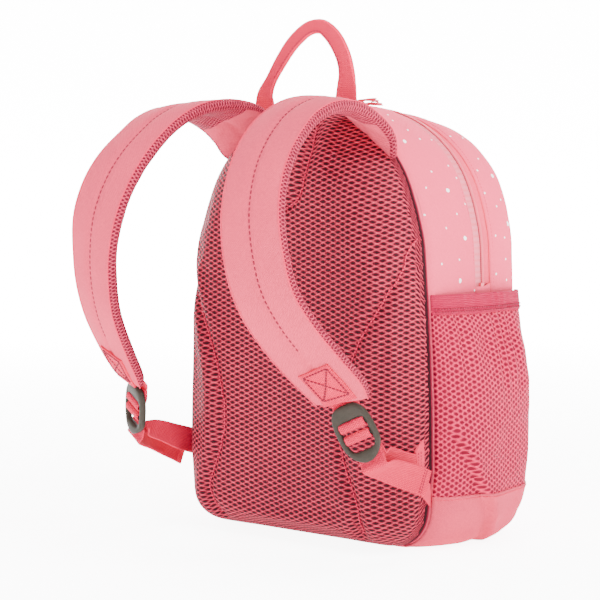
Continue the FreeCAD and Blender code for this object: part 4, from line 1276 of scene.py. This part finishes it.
BH, EL0, EL1 = 39.5, 174.0, 187.0
pm, PMP = pocket_grid(BH - 3, EL0 + 3, 100, 0.2, (M_POCKET,), "v_pocket_mesh_right")
solid(pm, 1.2, -1.0)
both(pm, "bag", ["side_pocket_mesh_%s"])
pb, PBP = pocket_grid(0.6, BH + 1.0, 26, 1.3, (M_TWILL, M_LINING), "v_pocket_band_right")
solid(pb, 1.4, -1.0, 1)
both(pb, "bag", ["side_pocket_band_%s"])
pe, PEP = pocket_grid(EL0 - 1.0, EL1 + 0.6, 14, 1.5, (M_ELASTIC,), "v_pocket_elastic_right", gather=0.45)
solid(pe, 2.2, -1.0)
pe.modifiers.new("bev", "BEVEL").width = 0.0005
both(pe, "bag", ["side_pocket_elastic_%s"])
ps = []
for z in (EL0 + 1.2, EL0 + 3.4):
    Q = A([pocket_pt(t, z, 1.5 * min(1.0, 14 * min(t, 1 - t) + 0.25) + 0.25) for t in np.linspace(0.01, 0.99, 90)])
    tg_ = norm(np.gradient(Q, axis=0))
    nn = norm(np.cross(tg_, A([0, 0, 1.0])))
    nn[nn[:, 0] < 0] *= -1
    ps.append(stitches("v_pe%d" % int(z * 10), Q, nn, M_THREAD, 2.6, 1.9, 0.42, -0.3))
for z in (BH - 1.2,):
    Q = A([pocket_pt(t, z, 1.3 * min(1.0, 14 * min(t, 1 - t) + 0.25) + 0.2) for t in np.linspace(0.01, 0.99, 90)])
    tg_ = norm(np.gradient(Q, axis=0))
    nn = norm(np.cross(tg_, A([0, 0, 1.0])))
    nn[nn[:, 0] < 0] *= -1
    ps.append(stitches("v_pbs", Q, nn, M_THREAD3, 2.6, 1.9, 0.34))
both(join("v_pocket_stitch_right", ps), "bag")

# ---------------------------------------------------------- front pocket ----
FY0 = YF - 9.0 - 0.1
FH, FT, FD = 84.0, 178.0, 25.0
NBs = (NB_, NC_, NL_, NA_, NT_)


def fpo(a_, t, R_, rb, zb):
    return tomb(a_, t, R_, rb, zb)


lay = [(0.6, FH + 0.5, FT + 0.5, 44, 20, 11.5), (0.0, FH, FT, 44, 20, 12.0), (-FD * 0.3, FH - 0.6, FT - 0.6, 44, 20, 12.4), (-FD * 0.58, FH - 1.9, FT - 1.9, 43.5, 20, 13.0),
       (-FD * 0.78, FH - 3.9, FT - 3.9, 42, 19.5, 14.5), (-FD * 0.9, FH - 6.6, FT - 6.6, 40, 18.5, 17.0), (-FD * 0.965, FH - 10, FT - 10, 38, 17, 20.0), (-FD, FH - 14, FT - 14, 36, 15, 23.5)]
rows_ = [np.stack([fpo(*l[1:])[:, 0], np.full(NPT, FY0 + l[0]), fpo(*l[1:])[:, 1]], 1) for l in lay]
last = fpo(*lay[-1][1:])
cz = np.clip(last[:, 1], 60, 120)
for f_ in (0.93, 0.84, 0.74, 0.62, 0.5, 0.38, 0.26, 0.14, 0.04, 0.001):
    x = last[:, 0] * f_
    z = cz + (last[:, 1] - cz) * f_
    rows_.append(np.stack([x, FY0 - FD - 0.9 * (1 - f_) ** 0.5 * 1.0 + 0 * x, z], 1))
PF = A(rows_).transpose(1, 0, 2)
su_ = np.r_[0, np.cumsum(np.linalg.norm(np.diff(PF[:, 2], axis=0), axis=1))]
UVF = PF[..., [0, 2]].copy()
side = np.clip((PF[..., 1] - (FY0 - FD)) / FD, 0, 1)
fsh = grid("v_front_pocket", PF, None, wrap=True, mats=(M_PRINT, M_LINING))
weld(fsh, 0.35)
me = fsh.data
uvl = me.uv_layers.new(name="UVMap")
vco = np.empty(len(me.vertices) * 3)
me.vertices.foreach_get("co", vco)
vco = vco.reshape(-1, 3) * 1000
li = np.empty(len(me.loops), np.int32)
me.loops.foreach_get("vertex_index", li)
uvl.data.foreach_set("uv", np.stack([vco[li, 0], vco[li, 2] + vco[li, 1]], 1).ravel().astype(np.float32))
# the mouth: faces between the two tapes are left out
ZM = 138.0
bm = bmesh.new()
bm.from_mesh(me)
geom = bm.verts[:] + bm.edges[:] + bm.faces[:]
for co_, no_ in (((0, 0, (ZM + 2.4) / 1000), (0, 0, 1)), ((0, 0, (ZM - 2.4) / 1000), (0, 0, 1)), ((0.060, 0, 0), (1, 0, 0)), ((-0.060, 0, 0), (1, 0, 0))):
    geom = bm.verts[:] + bm.edges[:] + bm.faces[:]
    bmesh.ops.bisect_plane(bm, geom=geom, plane_co=co_, plane_no=no_, dist=1e-6)
kill = [f_ for f_ in bm.faces if abs(f_.calc_center_median().x) < 0.060 and abs(f_.calc_center_median().z - ZM / 1000) < 0.0024 and f_.calc_center_median().y < (FY0 - FD * 0.7) / 1000]
bmesh.ops.delete(bm, geom=kill, context="FACES")
bm.normal_update()
bm.to_mesh(me)
bm.free()
solid(fsh, 1.8, -1.0, 1)
rides(fsh, "bag", ["front_pocket_shell"])
FYF = FY0 - FD
tt = []
for s in (1, -1):
    P_ = A([[(x, FYF + 0.9, ZM + s * z) for z in (0.9, 2.0, 4.0, 6.0)] for x in np.linspace(-62, 62, 63)])
    o = grid("v_ft%d" % s, P_, P_[..., [2, 0]].copy(), mats=(M_TAPE,), flip=(s > 0))
    solid(o, 0.6, 0.0)
    tt.append(bake(o))
rides(join("v_front_pocket_tape", tt), "bag", ["front_pocket_zip_tape"])
fx = np.stack([np.linspace(-58, 58, 117), np.full(117, FYF + 0.2), np.full(117, ZM)], 1)
fn = np.repeat(A([[0, -1.0, 0]]), 117, 0)
f1 = teeth("v_ft1", fx, fn, A([0, 0, 1.0]), 0.0, M_COIL, L=2.0, r=0.55)
f2 = teeth("v_ft2", fx, fn, A([0, 0, -1.0]), 0.75, M_COIL, L=2.0, r=0.55)
rides(join("v_front_pocket_teeth", [f1, f2]), "bag", ["front_pocket_zip_coil"])
fs = []
for z in (ZM + 4.2, ZM - 4.2):
    pp = A([(x, FYF - 0.35, z) for x in np.linspace(-60, 60, 80)])
    fs.append(stitches("v_fs%d" % int(z), pp, np.repeat(A([[0, -1.0, 0]]), 80, 0), M_THREAD3, 2.7, 1.9, 0.3))
q = fpo(FH + 0.3, FT + 0.3, 44, 20, 11.7)
seam = np.stack([q[:, 0], np.full(NPT, FY0 - 0.4), q[:, 1]], 1)
fs.append(tube("v_fseam", resample(np.vstack([seam, seam[:1]]), step=4)[:-1], 1.1, M_UNDER, 8, closed=True))
rides(join("v_front_pocket_stitch", fs), "bag")


# ------------------------------------------------------ sliders and pulls ---
def rbox(name, c, ax, half, bev, mat):
    bm = bmesh.new()
    bmesh.ops.create_cube(bm, size=2.0)
    for v in bm.verts:
        p = A(c) + ax[0] * v.co.x * half[0] + ax[1] * v.co.y * half[1] + ax[2] * v.co.z * half[2]
        v.co = Vector(p * 0.001)
    bmesh.ops.recalc_face_normals(bm, faces=bm.faces)
    bmesh.ops.bevel(bm, geom=bm.edges[:] + bm.verts[:], offset=bev * 0.001, segments=3, profile=0.6, affect="EDGES")
    me_ = bpy.data.meshes.new(name)
    bm.to_mesh(me_)
    bm.free()
    me_.materials.append(mat)
    me_.polygons.foreach_set("use_smooth", [True] * len(me_.polygons))
    return link(bpy.data.objects.new(name, me_))


def slider(name, c, t, w_, n2):
    """Slider body: two plates and a bridge for the pull."""
    ax = (t, w_, n2)
    a_ = [rbox(name + "a", c - n2 * 0.9, ax, (5.3, 4.1, 0.55), 0.5, M_METAL), rbox(name + "b", c + n2 * 0.25, ax, (4.9, 3.7, 0.6), 0.55, M_METAL)]
    pth = A([c + t * x + n2 * z for x, z in ((-3.6, 0.4), (-3.2, 1.25), (-1.6, 1.75), (0, 1.85), (1.6, 1.75), (3.2, 1.25), (3.6, 0.4))])
    a_.append(tube(name + "c", resample(pth, step=0.7), 0.62, M_METAL, 8))
    return join(name, a_)


def ringpull(name, c, t, w_, n2, L=10.0, Wd=3.2):
    th = np.linspace(0, 2 * math.pi, 40, endpoint=False)
    pts = A([c + t * (L - 1.2) * np.sign(math.cos(a_)) * abs(math.cos(a_)) ** 0.55 + w_ * Wd * 0.82 * np.sign(math.sin(a_)) * abs(math.sin(a_)) ** 0.75 for a_ in th])
    return tube(name, pts, 0.62, M_METAL, 8, closed=True)


def ring_frame(nm):
    lo, hi = nb(nm)
    return (lo + hi) / 2, lo, hi


ZC = 220.0
for s, sd, deg in ((-1, "left", -3.6), (1, "right", 3.6)):
    a_ = math.radians(deg)
    t = A([math.cos(a_), 0, -math.sin(a_)])
    n2 = A([math.sin(a_), 0, math.cos(a_)])
    c, lo, hi = ring_frame("main_zip_slider_" + sd)
    o = slider("v_slider_" + sd, c, t, A([0, 1.0, 0]), n2)
    rides(o, "zip_runner_" + sd, ["main_zip_slider_" + sd])
    c, lo, hi = ring_frame("main_zip_pull_" + sd)
    o = ringpull("v_pull_" + sd, c, t, A([0, 1.0, 0]), n2)
    rides(o, "zip_tab_" + sd, ["main_zip_pull_" + sd])
c, lo, hi = ring_frame("front_pocket_slider")
o = slider("v_front_slider", c, A([1.0, 0, 0]), A([0, 0, 1.0]), A([0, -1.0, 0]))
rides(o, "front_pocket_runner", ["front_pocket_slider"])
c, lo, hi = ring_frame("front_pocket_pull")
o = ringpull("v_front_pull", c, A([0, 0, 1.0]), A([1.0, 0, 0]), A([0, -1.0, 0]))
rides(o, "front_pocket_tab", ["front_pocket_pull"])

# ---------------------------------------------------------------- handle ----
HO = [(60.5, 329), (58, 338), (49.5, 350), (37.5, 367), (25, 381), (9, 391), (-6, 392.5), (-16.5, 388), (-26, 379), (-33.5, 366), (-37.5, 353), (-39.5, 341), (-40, 330)]
HI = [(41.5, 329), (43, 337), (40, 346), (31, 358), (19, 371), (6, 380), (-3.5, 381.5), (-9, 378), (-15.5, 370.5), (-21.5, 360), (-23.5, 350), (-21.5, 340), (-20, 330)]
HO = [(60.5, 319)] + HO + [(-40, 320)]
HI = [(41.5, 319)] + HI + [(-20, 320)]
HY = (nb("grab_handle")[0][1] + nb("grab_handle")[1][1]) / 2
hc, hwid, hthk = [], [], []
for i, ((ox, oz), (ix, iz)) in enumerate(zip(HO, HI)):
    hc.append(A([(ox + ix) / 2, HY, (oz + iz) / 2]))
    w_ = math.hypot(ox - ix, oz - iz)
    hwid.append(w_)
    hthk.append(2.0 if w_ > 17.5 else 3.4)
hd = [A([ox - ix, 0, oz - iz]) for (ox, oz), (ix, iz) in zip(HO, HI)]
hn, hcc, hww, hnn, hwn, htk = ribbon("v_handle", hc, hd, hwid, hthk, M_WEB, step=2.0)
rides(hn, "handle", ["grab_handle"])
hs = np.r_[0, np.cumsum(np.linalg.norm(np.diff(hcc, axis=0), axis=1))]
a_, b_ = int(np.argmin(abs(hs - 34))), int(np.argmin(abs(hs - (hs[-1] - 30))))
sts = []
for sg in (1, -1):
    pth = hcc[a_:b_] - hww[a_:b_] * (hwn[a_:b_, None] / 2 - 2.0) + hnn[a_:b_] * sg * (htk[a_:b_, None] / 2 + 0.1)
    sts.append(stitches("v_hs%d" % sg, pth, hnn[a_:b_] * sg, M_THREAD, 2.8, 2.0, 0.33))
rides(join("v_handle_stitch", sts), "handle")

# ------------------------------------------------------------ base inside ---
bf = nb("base_foam_sheet")
c = (bf[0] + bf[1]) / 2
hx = (bf[1] - bf[0]) / 2
o = rbox("v_base_foam", c, (A([1.0, 0, 0]), A([0, 1.0, 0]), A([0, 0, 1.0])), (hx[0] - 0.3, hx[1] - 0.3, hx[2] - 0.05), min(2.0, hx[2] * 0.8), M_LINING)
rides(o, "bag", ["base_foam_sheet"])

# ---------------------------------------------------- printed white dots ----
from mathutils.bvhtree import BVHTree
dgx = bpy.context.evaluated_depsgraph_get()
dgx.update()


class Dots:
    def __init__(s, ob):
        s.t = BVHTree.FromObject(ob, dgx)
        s.V, s.F, s.c = [], [], []

    def put(s, p, n, r, gap=0.0):
        p, n = A(p, float), norm(A(n, float))
        h = s.t.ray_cast(Vector((p + n * 14) * 0.001), Vector(-n), 0.03)
        if h[0] is None:
            return False
        q, m = A(h[0]) * 1000, norm(A(h[1]))
        if m.dot(n) < 0:
            m = -m
        if gap and any(((q - c) ** 2).sum() < gap * gap for c in s.c):
            return False
        s.c.append(q)
        a_ = norm(np.cross(m, A([0.3, 0.5, 0.8])))
        b_ = np.cross(m, a_)
        k0 = len(s.V)
        s.V.append(q + m * 0.30)
        n_ = 12
        ph = rng.uniform(0, 6.28)
        for rr_, hh in ((0.75, 0.27), (1.0, 0.10)):
            for k in range(n_):
                th = 2 * math.pi * k / n_
                w_ = r * rr_ * (1 + 0.10 * math.sin(2 * th + ph) + 0.05 * math.sin(3 * th))
                s.V.append(q + m * hh + w_ * (a_ * math.cos(th) + b_ * math.sin(th)))
        for k in range(n_):
            k2 = (k + 1) % n_
            s.F.append([k0, k0 + 1 + k, k0 + 1 + k2])
            s.F.append([k0 + 1 + k, k0 + 1 + n_ + k, k0 + 1 + n_ + k2, k0 + 1 + k2])
        return True

    def make(s, name):
        return raw(name, s.V, s.F, M_DOT)


BIG = [(51.5, 297.5), (31.5, 263.0), (22.5, 226.8), (31.5, 196.6), (-30.5, 273.1), (-34.0, 237.6)]
SMALL = [(34.5, 317.8), (40.5, 312.3), (36.0, 305.3), (31.5, 298.6), (17.0, 299.1), (19.0, 280.2), (42.0, 274.8), (15.5, 271.2), (54.0, 263.6),
         (14.0, 253.0), (63.0, 244.6), (27.5, 244.2), (43.0, 235.8), (31.5, 212.1), (52.0, 210.4), (13.5, 188.2), (-14.5, 303.3), (-29.0, 302.3),
         (-25.0, 285.4), (-15.5, 277.1), (-14.0, 261.3), (-31.0, 255.9), (-23.0, 250.8), (-16.0, 228.2), (-27.0, 226.3), (-27.0, 211.0), (-15.0, 199.2), (-28.0, 196.4)]
dr, df = Dots(g1), Dots(g3)
for L_, r_ in ((BIG, 1.75), (SMALL, 0.85)):
    for y, z in L_:
        q, nn = ring(y)
        m_ = q[:, 0] < 0
        i = int(np.argmin(np.where(m_, abs(q[:, 2] - z), 1e9)))
        (dr if y > 0 else df).put(q[i], nn[i], r_)
for _ in range(420):
    y = float(rng.uniform(-38, 63))
    if -14.5 < y < 14.5:
        continue
    q, nn = ring(y)
    i = int(rng.integers(NPT))
    if q[i, 2] < 8 or (q[i, 0] < -45 and q[i, 2] > 185):
        continue
    (dr if y > 0 else df).put(q[i], nn[i], 1.7 if rng.random() < 0.2 else 0.85, 11.0)
rides(dr.make("v_dots_rear"), "bag")
flap(df.make("v_dots_front_gusset"))
dp, dq = Dots(fp), Dots(fsh)
for _ in range(420):
    x, z = float(rng.uniform(-100, 100)), float(rng.uniform(12, 300))
    dp.put((x, YF - 8, z), (0, -1, 0), 1.7 if rng.random() < 0.2 else 0.85, 13.0)
for _ in range(200):
    x, z = float(rng.uniform(-70, 70)), float(rng.uniform(22, 166))
    if abs(z - 138) < 11:
        continue
    dq.put((x, FY0 - FD - 1, z), (0, -1, 0), 1.7 if rng.random() < 0.2 else 0.85, 13.0)
keep_ = [i for i in range(len(dp.c)) if not (abs(dp.c[i][0]) < 90 and dp.c[i][2] < 184)]
nv_ = 25
V2, F2 = [], []
for i in keep_:
    o_ = len(V2)
    V2 += dp.V[i * nv_:(i + 1) * nv_]
    F2 += [[v - i * nv_ + o_ for v in f_] for f_ in dp.F[i * 24:(i + 1) * 24]]
dp.V, dp.F = V2, F2
flap(dp.make("v_dots_panel"))
rides(dq.make("v_dots_pocket"), "bag")

# ------------------------------------------------------------------ stage ---
wd_ = bpy.data.worlds.new("studio")
bpy.context.scene.world = wd_
wd_.use_nodes = True
wd_.node_tree.nodes["Background"].inputs[0].default_value = (1, 1, 1, 1)
wd_.node_tree.nodes["Background"].inputs[1].default_value = 0.68
g = Mat("floor_pale")
n1 = g.noise(6.0, 2.0, g.obj())
g.out(g.mix(n1, (0.93, 0.93, 0.93), (0.97, 0.97, 0.97)), None, rough=0.9, sheen=0.0, spec=0.1)
me = bpy.data.meshes.new("floor")
me.from_pydata([(-12, -12, -0.0005), (12, -12, -0.0005), (12, 12, -0.0005), (-12, 12, -0.0005)], [], [(0, 1, 2, 3)])
me.materials.append(g.m)
fl = link(bpy.data.objects.new("floor", me))
# pale glow of the sweep: the floor and the wall far behind are lit by themselves
sp = g.n("ShaderNodeSeparateXYZ", {"Vector": g.obj()})
rr = g.f("SQRT", g.f("ADD", g.f("MULTIPLY", sp.outputs[0], sp.outputs[0]), g.f("MULTIPLY", sp.outputs[1], sp.outputs[1])))
g.b.inputs["Emission Color"].default_value = (1, 1, 1, 1)
g.put(g.b.inputs["Emission Strength"], g.smooth(rr, 0.05, 2.4, 2.0, 9.0))
gw = Mat("backdrop_pale")
gw.out(gw.mix(gw.noise(0.5, 2.0, gw.obj()), (0.93, 0.93, 0.93), (0.96, 0.96, 0.96)), None, rough=0.9, sheen=0.0, spec=0.1)
gw.b.inputs["Emission Color"].default_value = (1, 1, 1, 1)
gw.b.inputs["Emission Strength"].default_value = 9.0
cx, cy = -bk.x * 7.0, -bk.y * 7.0
tx_, ty_ = -bk.y, bk.x
me = bpy.data.meshes.new("backdrop")
me.from_pydata([(cx + tx_ * 6 * a_, cy + ty_ * 6 * a_, z_) for a_, z_ in ((-1, -0.2), (1, -0.2), (1, 5), (-1, 5))], [], [(0, 1, 2, 3)])
me.materials.append(gw.m)
bd = link(bpy.data.objects.new("backdrop", me))
# the floor is seen as white as the backdrop; its light on the bag stays low
nt = fl.data.materials[0].node_tree
bs_ = [n for n in nt.nodes if n.type == "BSDF_PRINCIPLED"][0]
old = bs_.inputs["Emission Strength"].links[0].from_socket
ray = nt.nodes.new("ShaderNodeLightPath")
m1 = nt.nodes.new("ShaderNodeMath")
m1.operation = "MULTIPLY"
m1.inputs[1].default_value = 6.0
m2 = nt.nodes.new("ShaderNodeMath")
m2.operation = "ADD"
nt.links.new(ray.outputs["Is Camera Ray"], m1.inputs[0])
nt.links.new(old, m2.inputs[0])
nt.links.new(m1.outputs[0], m2.inputs[1])
nt.links.new(m2.outputs[0], bs_.inputs["Emission Strength"])


def area(name, az, el, dist, size, power, tgt=(0, 0.05, 0.18), col=(1, 1, 1)):
    l = bpy.data.lights.new(name, "AREA")
    l.shape = "DISK"
    l.size = size
    l.energy = power
    l.color = col
    o_ = link(bpy.data.objects.new(name, l))
    a2, e2 = math.radians(az), math.radians(el)
    d_ = Vector((math.sin(a2) * math.cos(e2), -math.cos(a2) * math.cos(e2), math.sin(e2)))
    o_.location = Vector(tgt) + d_ * dist
    o_.rotation_mode = "QUATERNION"
    o_.rotation_quaternion = (-d_).to_track_quat("-Z", "Y")
    return o_


area("key", 268, 48, 2.2, 0.8, 56)
area("fill", 192, 44, 2.6, 1.6, 17)
area("top", 232, 80, 2.0, 1.0, 44)
